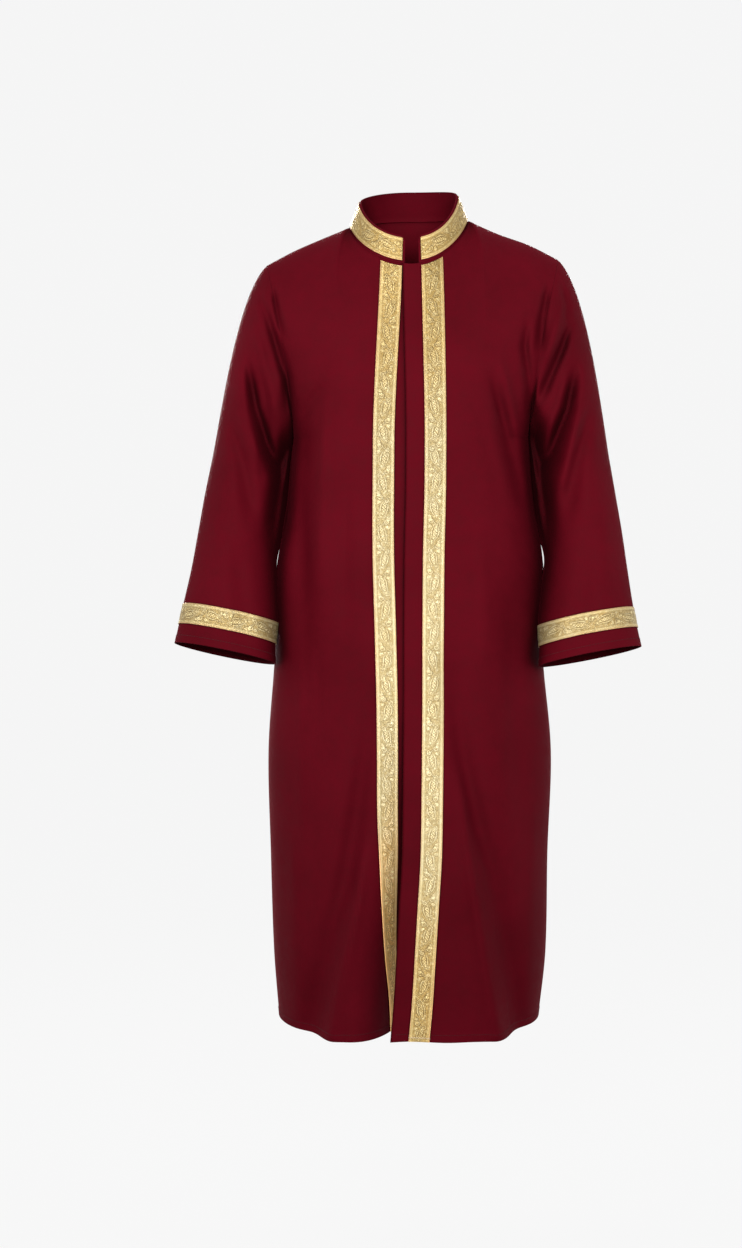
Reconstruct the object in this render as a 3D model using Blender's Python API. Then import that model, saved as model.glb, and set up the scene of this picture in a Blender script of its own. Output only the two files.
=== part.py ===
"""Bisht cloak: an open-front robe with a stand collar, set-in sleeves and gold braid.

The cloth hangs as it does on a standing wearer, with nothing inside it. Metres, +Z up. The front
faces -Y and the wearer's left is +X. The origin is the middle of the neck opening, where the
wearer's shoulders carry the cloak.
"""

import math
from collections import namedtuple

import bmesh
import bpy
from mathutils import Vector

# ---- Cloth and seams -------------------------------------------------------------------------

CLOTH = 0.0020  # wall of the body and the sleeves
COLLAR_CLOTH = 0.0024  # the collar's doubled, stiffened cloth
BRAID = 0.0010  # thickness of the gold braid
SEAM_GAP = 0.00034  # clear distance between two pieces at a seam
BRAID_WIDTH = 0.0323
ARMPIT_Z = -0.325
HEM_Z = -1.236
HEM_LIFT = 0.006  # how much higher the hem hangs at the side seams
HEM_LIFT_START = -0.95

# ---- Neckline and collar ---------------------------------------------------------------------

NECK_FRONT = 0.088  # how far the neckline reaches forward of the origin
NECK_BACK = 0.078
NECK_DROP = 0.0615  # how far the neckline dips at the centre front
NECK_BACK_RISE = 0.020
NECK_CURVE = 1.3
COLLAR_HEIGHT = 0.0435  # measured up the collar's slant
COLLAR_PAST_STRIP = 0.004  # how far each end passes its strip's inner edge
COLLAR_CORNER = 0.008  # radius of its upper front corners
COLLAR_LEAN_SIDE = 0.0165  # how far its top edge leans in at the sides
COLLAR_LEAN_FRONT = 0.008
COLLAR_LEAN_BACK = 0.012
COLLAR_BRAID_LOW = 0.0045  # bare cloth between the neck seam and the braid
COLLAR_BRAID_TOP = 0.0400

# Each side's neck point N and armhole top T, at the ends of its shoulder seam. The wearer's left
# shoulder sits a little higher than the right one.
Shoulder = namedtuple("Shoulder", "x z")
SHOULDER_RIGHT = (
    Shoulder(0.0945, 0.0000),
    Shoulder(0.1388, -0.0180),
    Shoulder(0.1794, -0.0355),
    Shoulder(0.2220, -0.0578),
)
SHOULDER_LEFT = (
    Shoulder(0.0890, 0.0105),
    Shoulder(0.1326, -0.0085),
    Shoulder(0.1825, -0.0262),
    Shoulder(0.2280, -0.0490),
)
SHOULDERS = {"right": SHOULDER_RIGHT, "left": SHOULDER_LEFT}

# ---- Body ------------------------------------------------------------------------------------

# Sections of the body below the armpit: half widths on the wearer's right and left, how far the
# front and the back stand from the side seams, and the power of the section's superellipse.
Body = namedtuple("Body", "z right left front back power")
BODY = (
    Body(-0.325, 0.1810, 0.1830, 0.142, 0.108, 2.50),
    Body(-0.360, 0.1855, 0.1860, 0.144, 0.106, 2.50),
    Body(-0.420, 0.1910, 0.1910, 0.147, 0.105, 2.50),
    Body(-0.480, 0.2010, 0.2020, 0.149, 0.107, 2.47),
    Body(-0.530, 0.2085, 0.2078, 0.151, 0.111, 2.45),
    Body(-0.590, 0.2110, 0.2090, 0.153, 0.117, 2.42),
    Body(-0.660, 0.2112, 0.2070, 0.155, 0.124, 2.40),
    Body(-0.810, 0.2215, 0.2205, 0.162, 0.135, 2.30),
    Body(-0.970, 0.2184, 0.2160, 0.171, 0.141, 2.20),
    Body(-1.130, 0.2137, 0.2137, 0.181, 0.144, 2.10),
    Body(-1.236, 0.2060, 0.2035, 0.187, 0.145, 1.92),
)

# Where the outer edge of each front's braid strip runs, how deep the right front's edge turns in
# under the left one towards the hem, and how much the centre front hollows.
Front = namedtuple("Front", "z right left turn_in hollow")
FRONT = (
    Front(-0.065, 0.0462, 0.0475, 0.000, 0.000),
    Front(-0.115, 0.0490, 0.0470, 0.000, 0.000),
    Front(-0.210, 0.0560, 0.0510, 0.000, 0.000),
    Front(-0.390, 0.0586, 0.0514, 0.000, 0.000),
    Front(-0.500, 0.0586, 0.0492, 0.000, 0.000),
    Front(-0.620, 0.0554, 0.0484, 0.000, 0.000),
    Front(-0.730, 0.0528, 0.0483, 0.000, 0.002),
    Front(-0.885, 0.0511, 0.0471, 0.005, 0.006),
    Front(-0.960, 0.0485, 0.0457, 0.010, 0.009),
    Front(-1.035, 0.0455, 0.0412, 0.017, 0.013),
    Front(-1.110, 0.0406, 0.0367, 0.027, 0.017),
    Front(-1.180, 0.0340, 0.0323, 0.037, 0.020),
    Front(-1.236, 0.0315, 0.0274, 0.043, 0.022),
)
EXTENSION = {"left": 0.028, "right": 0.030}  # plain cloth past each strip's inner edge
LAP_DEPTH = 0.0065  # how far the right front lies behind the left one
LAP_RAMP = 0.060
TURN_IN_START = 0.095
TURN_IN_RUN = 0.050
TURN_IN_STEEPEST = 1.3  # slope past the strip's outer edge
HOLLOW_HALF_WIDTH = 0.046

# Directions in which the cloth leaves the neckline and the shoulder seam, as (forward, down),
# and how far each run-off reaches before the cloth bends towards the armpit's level.
LEAVE_CENTRE_FRONT = (0.42, 0.91)
LEAVE_CENTRE_BACK = (0.62, 0.78)
LEAVE_SHOULDER = (0.99, 0.16)
LEAVE_ASIDE = 0.36  # sideways part of that direction at the neck point
REACH_NECK = 0.15
REACH_SHOULDER = 0.31
REACH_ARMPIT = 0.22
NECK_SHARE = 0.27  # share of a front's width, past the strip, that hangs from the neckline
BACK_NECK_SHARE = 0.35

# ---- Armholes and sleeves --------------------------------------------------------------------

ARMPIT_X = {"right": 0.1810, "left": 0.1830}
ARMHOLE_FRONT = 0.072
ARMHOLE_BACK = 0.076
ARMHOLE_SLANT = 1.6  # how quickly the armhole runs in below the shoulder
ARMPIT_WIDENING = 3.0

# Sections of each sleeve by the height of its middle: inner and outer edge from the centre line,
# the middle's place forward (-) or back, half its depth, how its ring tilts, up towards the
# outside and down towards the back, and how far its inner back lies against the body, 0 to 1.
Sleeve = namedtuple("Sleeve", "z inner outer middle_y half_depth rise drop rest")
SLEEVE_RIGHT = (
    Sleeve(-0.365, 0.1960, 0.3085, -0.006, 0.073, 4, 3, 0.90),
    Sleeve(-0.420, 0.2070, 0.3190, -0.014, 0.067, 7, 6, 1.00),
    Sleeve(-0.480, 0.2115, 0.3285, -0.027, 0.061, 10, 9, 0.85),
    Sleeve(-0.540, 0.2105, 0.3385, -0.043, 0.056, 11, 11, 0.25),
    Sleeve(-0.600, 0.2085, 0.3510, -0.060, 0.052, 11.6, 12, 0.00),
    Sleeve(-0.654, 0.2075, 0.3620, -0.074, 0.048, 11.6, 12, 0.00),
)
SLEEVE_LEFT = (
    Sleeve(-0.365, 0.1960, 0.3095, -0.008, 0.073, 4, 3, 0.90),
    Sleeve(-0.420, 0.2060, 0.3180, -0.020, 0.067, 6, 6, 1.00),
    Sleeve(-0.480, 0.2090, 0.3265, -0.037, 0.061, 9, 9, 0.85),
    Sleeve(-0.540, 0.2055, 0.3335, -0.057, 0.056, 10, 11, 0.25),
    Sleeve(-0.600, 0.1985, 0.3410, -0.078, 0.052, 11, 12, 0.00),
    Sleeve(-0.657, 0.1945, 0.3510, -0.096, 0.048, 11, 12, 0.00),
)
SLEEVES = {"right": SLEEVE_RIGHT, "left": SLEEVE_LEFT}
REST_MIDDLE = 222  # degrees round the sleeve at the middle of what lies against the body
REST_WIDTH = 62
REST_CLEAR = 0.0028  # distance kept there from the body's side
CUFF_TO_BRAID = 0.030
CAP_REACH_TOP = 0.19  # how far the sleeve runs on outward from the armhole's top and bottom
CAP_REACH_BOTTOM = 0.03
CAP_REACH_RING = 0.20
CAP_LEAVE_TOP = (0.74, 0.67)  # (outward, down)
CAP_LEAVE_BOTTOM = (0.55, 0.83)

# ---- Largest folds ---------------------------------------------------------------------------

# A fold runs from its upper to its lower end, where x is measured from the centre line, and is a
# ridge where its height is positive and a trough where it is negative.
Fold = namedtuple("Fold", "panel upper_x upper_z lower_x lower_z width height")
BODY_FOLDS = (
    Fold("front_right", 0.055, -0.80, 0.152, -1.236, 0.026, -0.007),
    Fold("front_right", 0.078, -0.98, 0.116, -1.236, 0.028, 0.012),
    Fold("front_right", 0.120, -0.26, 0.142, -0.55, 0.020, 0.004),
    Fold("front_right", 0.172, -0.36, 0.160, -0.72, 0.020, -0.005),
    Fold("front_left", 0.052, -0.58, 0.163, -1.236, 0.026, -0.007),
    Fold("front_left", 0.083, -0.90, 0.128, -1.236, 0.030, 0.016),
    Fold("front_left", 0.122, -0.23, 0.178, -0.46, 0.018, -0.005),
    Fold("front_left", 0.150, -0.50, 0.172, -0.95, 0.022, -0.004),
    Fold("back_right", 0.040, -0.52, 0.052, -1.236, 0.022, -0.009),
    Fold("back_right", 0.098, -0.40, 0.120, -1.236, 0.024, 0.008),
    Fold("back_left", 0.030, -0.45, 0.046, -1.236, 0.022, 0.008),
    Fold("back_left", 0.086, -0.60, 0.108, -1.236, 0.022, -0.009),
    Fold("back_left", 0.140, -0.36, 0.156, -1.236, 0.024, 0.007),
)
FOLD_FADE = 0.12  # length over which a fold starts and ends, unless it runs out at the hem

# A sleeve's fold, by its place round the sleeve in degrees: 0 is the outside, 90 the front, 180
# the inside and 270 the back.
SleeveFold = namedtuple("SleeveFold", "sleeve upper_angle upper_z lower_angle lower_z width height")
SLEEVE_FOLDS = (
    SleeveFold("right", 62, -0.15, 138, -0.42, 16, -0.007),
    SleeveFold("right", 100, -0.20, 160, -0.37, 15, 0.005),
    SleeveFold("right", 255, -0.17, 215, -0.42, 17, -0.006),
    SleeveFold("left", 58, -0.17, 140, -0.40, 16, -0.007),
    SleeveFold("left", 98, -0.20, 160, -0.35, 15, 0.005),
    SleeveFold("left", 262, -0.16, 222, -0.40, 17, -0.006),
)
SLEEVE_FOLD_FADE = 0.06

# A direction along which no seam runs level, for ordering the points of a seam.
EDGE_ORDER = Vector((0.31, 0.83, 1.0))

# ---- How finely each piece is divided --------------------------------------------------------

EXTENSION_COLUMNS = 2
STRIP_COLUMNS = 2
NECK_COLUMNS = 5
BACK_NECK_COLUMNS = 6
CORNER_SHARES = (0.25, 1.0)  # where a collar's end has extra points, on each side of the strip's edge
SHOULDER_COLUMNS = 9
TOP_ROWS = 11  # rows between the shoulder seam and the armpit
STRIP_START = 0.030  # share of that run above the top of the braid strips
SKIRT_ROWS = 17
CAP_ROWS = 7
ARM_ROWS = 6  # rows between the armpit and the cuff's braid
CUFF_BRAID_ROWS = 2

# ---- Colours, in linear RGB ------------------------------------------------------------------

BURGUNDY = (0.115, 0.004, 0.012, 1.0)
GOLD = (0.640, 0.470, 0.190, 1.0)


def read(table, column, z):
    """A table's value at height z, on a smooth curve through its rows."""
    return curve([(row.z, getattr(row, column)) for row in table], z)


def curve(values, z):
    """The value at z on a smooth curve through these (z, value) pairs, highest z first."""
    if z >= values[0][0]:
        return values[0][1]
    if z <= values[-1][0]:
        return values[-1][1]
    upper = max(k for k in range(len(values) - 1) if values[k][0] >= z)
    (z0, a), (z1, b) = values[upper], values[upper + 1]
    before = values[max(upper - 1, 0)]
    after = values[min(upper + 2, len(values) - 1)]
    slope0 = (b - before[1]) / (z1 - before[0])
    slope1 = (after[1] - a) / (after[0] - z0)
    return hermite(a, slope0 * (z1 - z0), b, slope1 * (z1 - z0), (z - z0) / (z1 - z0))


def hermite(start, leave, end, arrive, t):
    """A cubic from start to end with these tangents, for numbers or vectors."""
    return (
        start * (2 * t**3 - 3 * t**2 + 1)
        + leave * (t**3 - 2 * t**2 + t)
        + end * (3 * t**2 - 2 * t**3)
        + arrive * (t**3 - t**2)
    )


def ease(t):
    """0 below 0 and 1 above 1, with a smooth rise between."""
    t = min(max(t, 0.0), 1.0)
    return t * t * (3 - 2 * t)


def mix(a, b, t):
    return a * (1 - t) + b * t


def sign_of(side):
    return 1 if side == "left" else -1


# ---- Body surface ----------------------------------------------------------------------------


def section_y(side, depth_name, x, z):
    """The body's plain section: how far the cloth stands from the side seams' plane."""
    half = read(BODY, side, z)
    power = read(BODY, "power", z)
    across = min(abs(x) / half, 1.0)
    return read(BODY, depth_name, z) * (1 - across**power) ** (1 / power)


def lap_depth(side, x, z):
    """How far behind the plain section the centre front lies. x grows towards the side's seam."""
    strip = read(FRONT, side, z)
    depth = read(FRONT, "hollow", z) * math.exp(-((x / HOLLOW_HALF_WIDTH) ** 2))
    if side == "left":
        return depth
    depth += LAP_DEPTH * ease((strip + 0.02 - x) / LAP_RAMP)
    turn = read(FRONT, "turn_in", z)
    curved = max(TURN_IN_START - max(x, strip), 0.0) / TURN_IN_RUN
    depth += turn * curved**2
    if x < strip:
        slope = min(2 * turn * curved / TURN_IN_RUN, TURN_IN_STEEPEST)
        depth += slope * (strip - x)
    return depth


def front_point(side, x, z):
    """A point of a front below the armpit. x grows towards that side's seam."""
    y = lap_depth(side, x, z) - section_y(side, "front", x, z)
    return Vector((sign_of(side) * x, y, z + hem_lift(side, x, z)))


def hem_lift(side, x, z):
    """How much higher than z the cloth hangs near the side seams, towards the hem."""
    near_seam = (x / read(BODY, side, z)) ** 6
    return HEM_LIFT * near_seam * ease((HEM_LIFT_START - z) / (HEM_LIFT_START - HEM_Z))


def step_inward(side, x, length, z):
    """The x reached by following the front from x for this length towards the other front."""
    steps = 8
    for _ in range(steps):
        ahead = front_point(side, x - 0.001, z) - front_point(side, x, z)
        x -= length / steps * 0.001 / ahead.length
    return x


def spread(start, end, count):
    """count values after start, evenly spaced, the last one being end."""
    return [mix(start, end, (k + 1) / count) for k in range(count)]


def front_row(side, z):
    """A front's points at one height: free edge, braid strip, then round to the side seam."""
    outer = read(FRONT, side, z)
    inner = step_inward(side, outer, BRAID_WIDTH, z)
    past = step_inward(side, inner, COLLAR_PAST_STRIP, z)
    edge = step_inward(side, past, EXTENSION[side] - COLLAR_PAST_STRIP, z)
    across = [edge, past, inner] + spread(inner, outer, STRIP_COLUMNS)
    half = read(BODY, side, z)
    power = read(BODY, "power", z)
    start = math.asin((outer / half) ** (power / 2))
    turns = side_turns(start, NECK_COLUMNS, NECK_SHARE)
    across += [half * math.sin(turn) ** (2 / power) for turn in turns]
    return [front_point(side, x, z) for x in across]


def side_turns(start, neck_columns, neck_share):
    """Angles round a section from start to the side seam, for the neck's and shoulder's columns."""
    neck = mix(start, math.pi / 2, neck_share)
    return spread(start, neck, neck_columns) + spread(neck, math.pi / 2, SHOULDER_COLUMNS)


def back_row(side, z):
    """A side's half of the back at one height, from the centre back to the side seam."""
    half = read(BODY, side, z)
    power = read(BODY, "power", z)
    points = []
    for turn in [0.0] + side_turns(0.0, BACK_NECK_COLUMNS, BACK_NECK_SHARE):
        x = half * math.sin(turn) ** (2 / power)
        y = section_y(side, "back", x, z)
        points.append(Vector((sign_of(side) * x, y, z + hem_lift(side, x, z))))
    return points


def neck_point(side, turn):
    """A point of the neckline, where turn runs from 0 at the front to pi at the back."""
    neck = SHOULDERS[side][0]
    level = neck.z * math.sin(turn) ** 2
    if turn <= math.pi / 2:
        y = -NECK_FRONT * math.cos(turn)
        z = level - NECK_DROP * max(math.cos(turn), 0.0) ** NECK_CURVE
    else:
        y = -NECK_BACK * math.cos(turn)
        z = level - NECK_BACK_RISE * math.cos(turn)
    return Vector((sign_of(side) * neck.x * math.sin(turn), y, z))


def shoulder_points(side):
    """The shoulder seam from just past the neck point to the armhole's top."""
    rows = SHOULDERS[side]
    heights = [(-row.x, row.z) for row in rows]
    points = []
    for x in spread(rows[0].x, rows[-1].x, SHOULDER_COLUMNS):
        points.append(Vector((sign_of(side) * x, 0.0, curve(heights, -x))))
    return points


def armhole_point(side, face, v):
    """A point of the armhole's front or back half, from the shoulder, v = 0, to the armpit, 1."""
    top = SHOULDERS[side][-1]
    turn = math.pi * v
    share = (1 + math.cos(turn)) / 2
    z = mix(ARMPIT_Z, top.z, share)
    x = mix(ARMPIT_X[side], top.x, share**ARMHOLE_SLANT)
    y = -ARMHOLE_FRONT * math.sin(turn) if face == "front" else ARMHOLE_BACK * math.sin(turn)
    return Vector((sign_of(side) * x, y, z))


def top_edge(side, face):
    """The upper edge of a front or of half the back, as (point, leaving direction) pairs."""
    forward = -1 if face == "front" else 1
    centre = LEAVE_CENTRE_FRONT if face == "front" else LEAVE_CENTRE_BACK
    pairs = []
    for turn in neck_turns(side, face):
        off_centre = 1 - abs(math.cos(turn))
        point = neck_point(side, turn) if turn >= 0 else past_centre(side, turn)
        if face == "front":
            point.y += lap_depth(side, point.x * sign_of(side), point.z)
        out = mix(centre[0], LEAVE_SHOULDER[0], off_centre)
        down = mix(centre[1], LEAVE_SHOULDER[1], off_centre)
        aside = sign_of(side) * LEAVE_ASIDE * math.sin(turn) ** 4
        leave = Vector((aside, forward * out, -down)).normalized()
        pairs.append((point, leave * mix(REACH_NECK, REACH_SHOULDER, off_centre)))
    for k, point in enumerate(shoulder_points(side)):
        aside = sign_of(side) * LEAVE_ASIDE * ease(1 - (k + 1) / SHOULDER_COLUMNS)
        leave = Vector((aside, forward * LEAVE_SHOULDER[0], -LEAVE_SHOULDER[1])).normalized()
        pairs.append((point, leave * REACH_SHOULDER))
    return pairs


def past_centre(side, turn):
    """A neckline point on the far side of the centre front, where a front's extension ends."""
    point = neck_point(side, -turn)
    point.x = -point.x
    return point


def neck_turns(side, face):
    """Angles of the neckline at which a front's or the back's columns start."""
    if face == "back":
        return [math.pi] + spread(math.pi, math.pi / 2, BACK_NECK_COLUMNS)
    neck = SHOULDERS[side][0]
    outer = FRONT[0].right if side == "right" else FRONT[0].left
    inner = outer - BRAID_WIDTH
    across = [inner - EXTENSION[side], inner - COLLAR_PAST_STRIP, inner]
    across += spread(inner, outer, STRIP_COLUMNS)
    turns = [math.asin(x / neck.x) for x in across]
    return turns + spread(turns[-1], math.pi / 2, NECK_COLUMNS)


def skirt_heights():
    return spread(ARMPIT_Z, HEM_Z, SKIRT_ROWS)


def body_grid(side, face):
    """Rows of points of a front, or of a side's half of the back, from top edge to hem."""
    section = front_row if face == "front" else back_row
    top = top_edge(side, face)
    ring = section(side, ARMPIT_Z)
    below = section(side, ARMPIT_Z - 0.01)
    last = len(top) - 1
    first_shoulder = last - SHOULDER_COLUMNS
    rows = []
    for v in top_shares(face):
        row = []
        armhole = armhole_point(side, face, v)
        plain = column_point(top[last], ring[last], below[last], v)
        for k in range(last + 1):
            towards_armhole = max(k - first_shoulder, 0) / SHOULDER_COLUMNS
            point = column_point(top[k], ring[k], below[k], v)
            row.append(point + (armhole - plain) * towards_armhole**1.6)
        rows.append(row)
    return rows + [section(side, z) for z in skirt_heights()]


def column_point(start, end, below, v):
    point, leave = start
    arrive = (below - end).normalized() * REACH_ARMPIT
    return hermite(point, leave, end, arrive, v)


def top_shares(face):
    """Shares of the run from the top edge to the armpit at which rows lie."""
    shares = [0.0] + spread(0.0, 1.0, TOP_ROWS)
    return shares[:1] + [STRIP_START] + shares[1:] if face == "front" else shares


# ---- Sleeve surface --------------------------------------------------------------------------


def sleeve_ring(side, z, turns):
    """A sleeve's section whose middle is at height z, at these angles round it."""
    table = SLEEVES[side]
    inner = read(table, "inner", z)
    outer = read(table, "outer", z)
    rise = math.radians(read(table, "rise", z))
    drop = math.radians(read(table, "drop", z))
    middle = Vector((sign_of(side) * (inner + outer) / 2, read(table, "middle_y", z), z))
    outward = Vector((sign_of(side) * math.cos(rise), 0.0, math.sin(rise)))
    outward *= (outer - inner) / 2 / math.cos(rise)
    back = Vector((0.0, math.cos(drop), -math.sin(drop))) * read(table, "half_depth", z)
    rest = read(table, "rest", z)
    ring = []
    for turn in turns:
        point = middle + outward * math.cos(turn) - back * math.sin(turn)
        share = rest * rest_share(turn)
        against = sign_of(side) * (body_reach(side, point.y, point.z) + REST_CLEAR)
        point.x = mix(point.x, against, share)
        ring.append(point)
    return ring


def rest_share(turn):
    """1 where the sleeve's inner back lies against the body, 0 over the rest of its ring."""
    away = abs(math.degrees(turn) - REST_MIDDLE) / REST_WIDTH
    return ease(1.6 * (1 - away))


def body_reach(side, y, z):
    """How far out the body's side stands at this distance forward (-) or back."""
    depth = read(BODY, "front" if y < 0 else "back", z)
    power = read(BODY, "power", z)
    across = min(abs(y) / depth, 1.0)
    return read(BODY, side, z) * (1 - across**power) ** (1 / power)


def cuff_height(side, distance):
    """The height of the sleeve's middle at this distance up the sleeve from its cuff's edge."""
    table = SLEEVES[side]
    cuff = table[-1]
    above = table[-2]
    run = Vector(
        (
            (above.inner + above.outer - cuff.inner - cuff.outer) / 2,
            above.middle_y - cuff.middle_y,
            above.z - cuff.z,
        )
    )
    return cuff.z + distance * run.z / run.length


def sleeve_samples(side):
    """Round the armhole: (point, angle round the sleeve) from the top by the front and back."""
    front = [(armhole_point(side, "front", v), math.pi * v) for v in top_shares("front")]
    back = [(armhole_point(side, "back", v), math.pi * (2 - v)) for v in top_shares("back")]
    return front + back[-2:0:-1]


def sleeve_grid(side):
    """Rows of points of a sleeve from its armhole to its cuff."""
    samples = sleeve_samples(side)
    turns = [turn for _, turn in samples]
    first = SLEEVES[side][0].z
    ring = sleeve_ring(side, first, turns)
    below = sleeve_ring(side, first - 0.01, turns)
    rows = []
    for t in [0.0] + spread(0.0, 1.0, CAP_ROWS):
        row = []
        for k in range(len(samples)):
            start, turn = samples[k]
            low = (1 - math.cos(turn)) / 2
            out = mix(CAP_LEAVE_TOP[0], CAP_LEAVE_BOTTOM[0], low)
            down = mix(CAP_LEAVE_TOP[1], CAP_LEAVE_BOTTOM[1], low)
            reach = mix(CAP_REACH_TOP, CAP_REACH_BOTTOM, low)
            leave = Vector((sign_of(side) * out, 0.0, -down)) * reach
            span = mix(CAP_REACH_RING, CAP_REACH_BOTTOM, low)
            arrive = (below[k] - ring[k]).normalized() * span
            row.append(hermite(start, leave, ring[k], arrive, t))
        rows.append(row)
    return rows + [sleeve_ring(side, z, turns) for z in arm_heights(side)]


def armpit_widening(side):
    """How many times as far each point of the sleeve's seam is taken back as elsewhere. At the
    armpit the sleeve leaves the body at a narrow angle."""
    samples = sleeve_samples(side)
    return [1 + ARMPIT_WIDENING * ((1 - math.cos(turn)) / 2) ** 6 for _, turn in samples]


def arm_heights(side):
    """Heights of the sleeve's rows below the armpit: to the braid, along it, and the cuff."""
    braid_top = cuff_height(side, CUFF_TO_BRAID + BRAID_WIDTH)
    braid_foot = cuff_height(side, CUFF_TO_BRAID)
    heights = spread(SLEEVES[side][0].z, braid_top, ARM_ROWS)
    heights += spread(braid_top, braid_foot, CUFF_BRAID_ROWS)
    return heights + [SLEEVES[side][-1].z]


# ---- Collar surface --------------------------------------------------------------------------


def collar_base():
    """The neckline under the collar, from its left end round the back to its right end."""
    base = [top_edge("left", "front")[k][0] for k in front_neck_columns()]
    base += [neck_point("left", turn) for turn in neck_turns("left", "back")[-2::-1]]
    base += [neck_point("right", turn) for turn in neck_turns("right", "back")[1:]]
    right = [top_edge("right", "front")[k][0] for k in front_neck_columns()]
    return base + right[-2::-1]


def front_neck_columns():
    """A front's columns from the collar's end to the neck point."""
    first = EXTENSION_COLUMNS - 1
    return range(first, EXTENSION_COLUMNS + STRIP_COLUMNS + NECK_COLUMNS + 1)


def along(points, distance):
    """The point at this distance along a line of points."""
    for start, end in zip(points, points[1:]):
        length = (end - start).length
        if distance <= length:
            return start.lerp(end, distance / length)
        distance -= length
    return points[-1].copy()


def collar_stations(points):
    """The base with extra points near each end, where the collar's corners are round."""
    near, far = [along(points, COLLAR_CORNER * share) for share in CORNER_SHARES]
    last_near, last_far = [along(points[::-1], COLLAR_CORNER * share) for share in CORNER_SHARES]
    start = [points[0], near, points[1], far]
    return start + points[2:-2] + [last_far, points[-2], last_near, points[-1]]


def collar_grid():
    """Rows of points of the collar from the neck seam to its upper edge."""
    base = collar_stations(collar_base())
    walked = [0.0]
    for start, end in zip(base, base[1:]):
        walked.append(walked[-1] + (end - start).length)
    heights = [0.0, COLLAR_BRAID_LOW, 0.5 * COLLAR_HEIGHT, COLLAR_BRAID_TOP, COLLAR_HEIGHT]
    rows = []
    for height in heights:
        row = []
        for point, distance in zip(base, walked):
            from_end = min(distance, walked[-1] - distance)
            row.append(point + collar_up(point) * min(height, collar_limit(height, from_end)))
        rows.append(row)
    return rows


def collar_limit(height, from_end):
    """How high the collar may reach this far from its end, under its round corner."""
    if from_end >= COLLAR_CORNER:
        return height
    drop = COLLAR_CORNER - math.sqrt(COLLAR_CORNER**2 - (COLLAR_CORNER - from_end) ** 2)
    return height * (COLLAR_HEIGHT - drop) / COLLAR_HEIGHT


def collar_up(point):
    """The direction in which the collar stands at this point of the neckline."""
    aside = Vector((point.x, point.y, 0.0)).normalized()
    lean = COLLAR_LEAN_FRONT if aside.y < 0 else COLLAR_LEAN_BACK
    lean = mix(lean, COLLAR_LEAN_SIDE, aside.x**2)
    upright = math.sqrt(COLLAR_HEIGHT**2 - lean**2)
    return (Vector((0.0, 0.0, upright)) - aside * lean) / COLLAR_HEIGHT


# ---- Cloth walls -----------------------------------------------------------------------------


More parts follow.
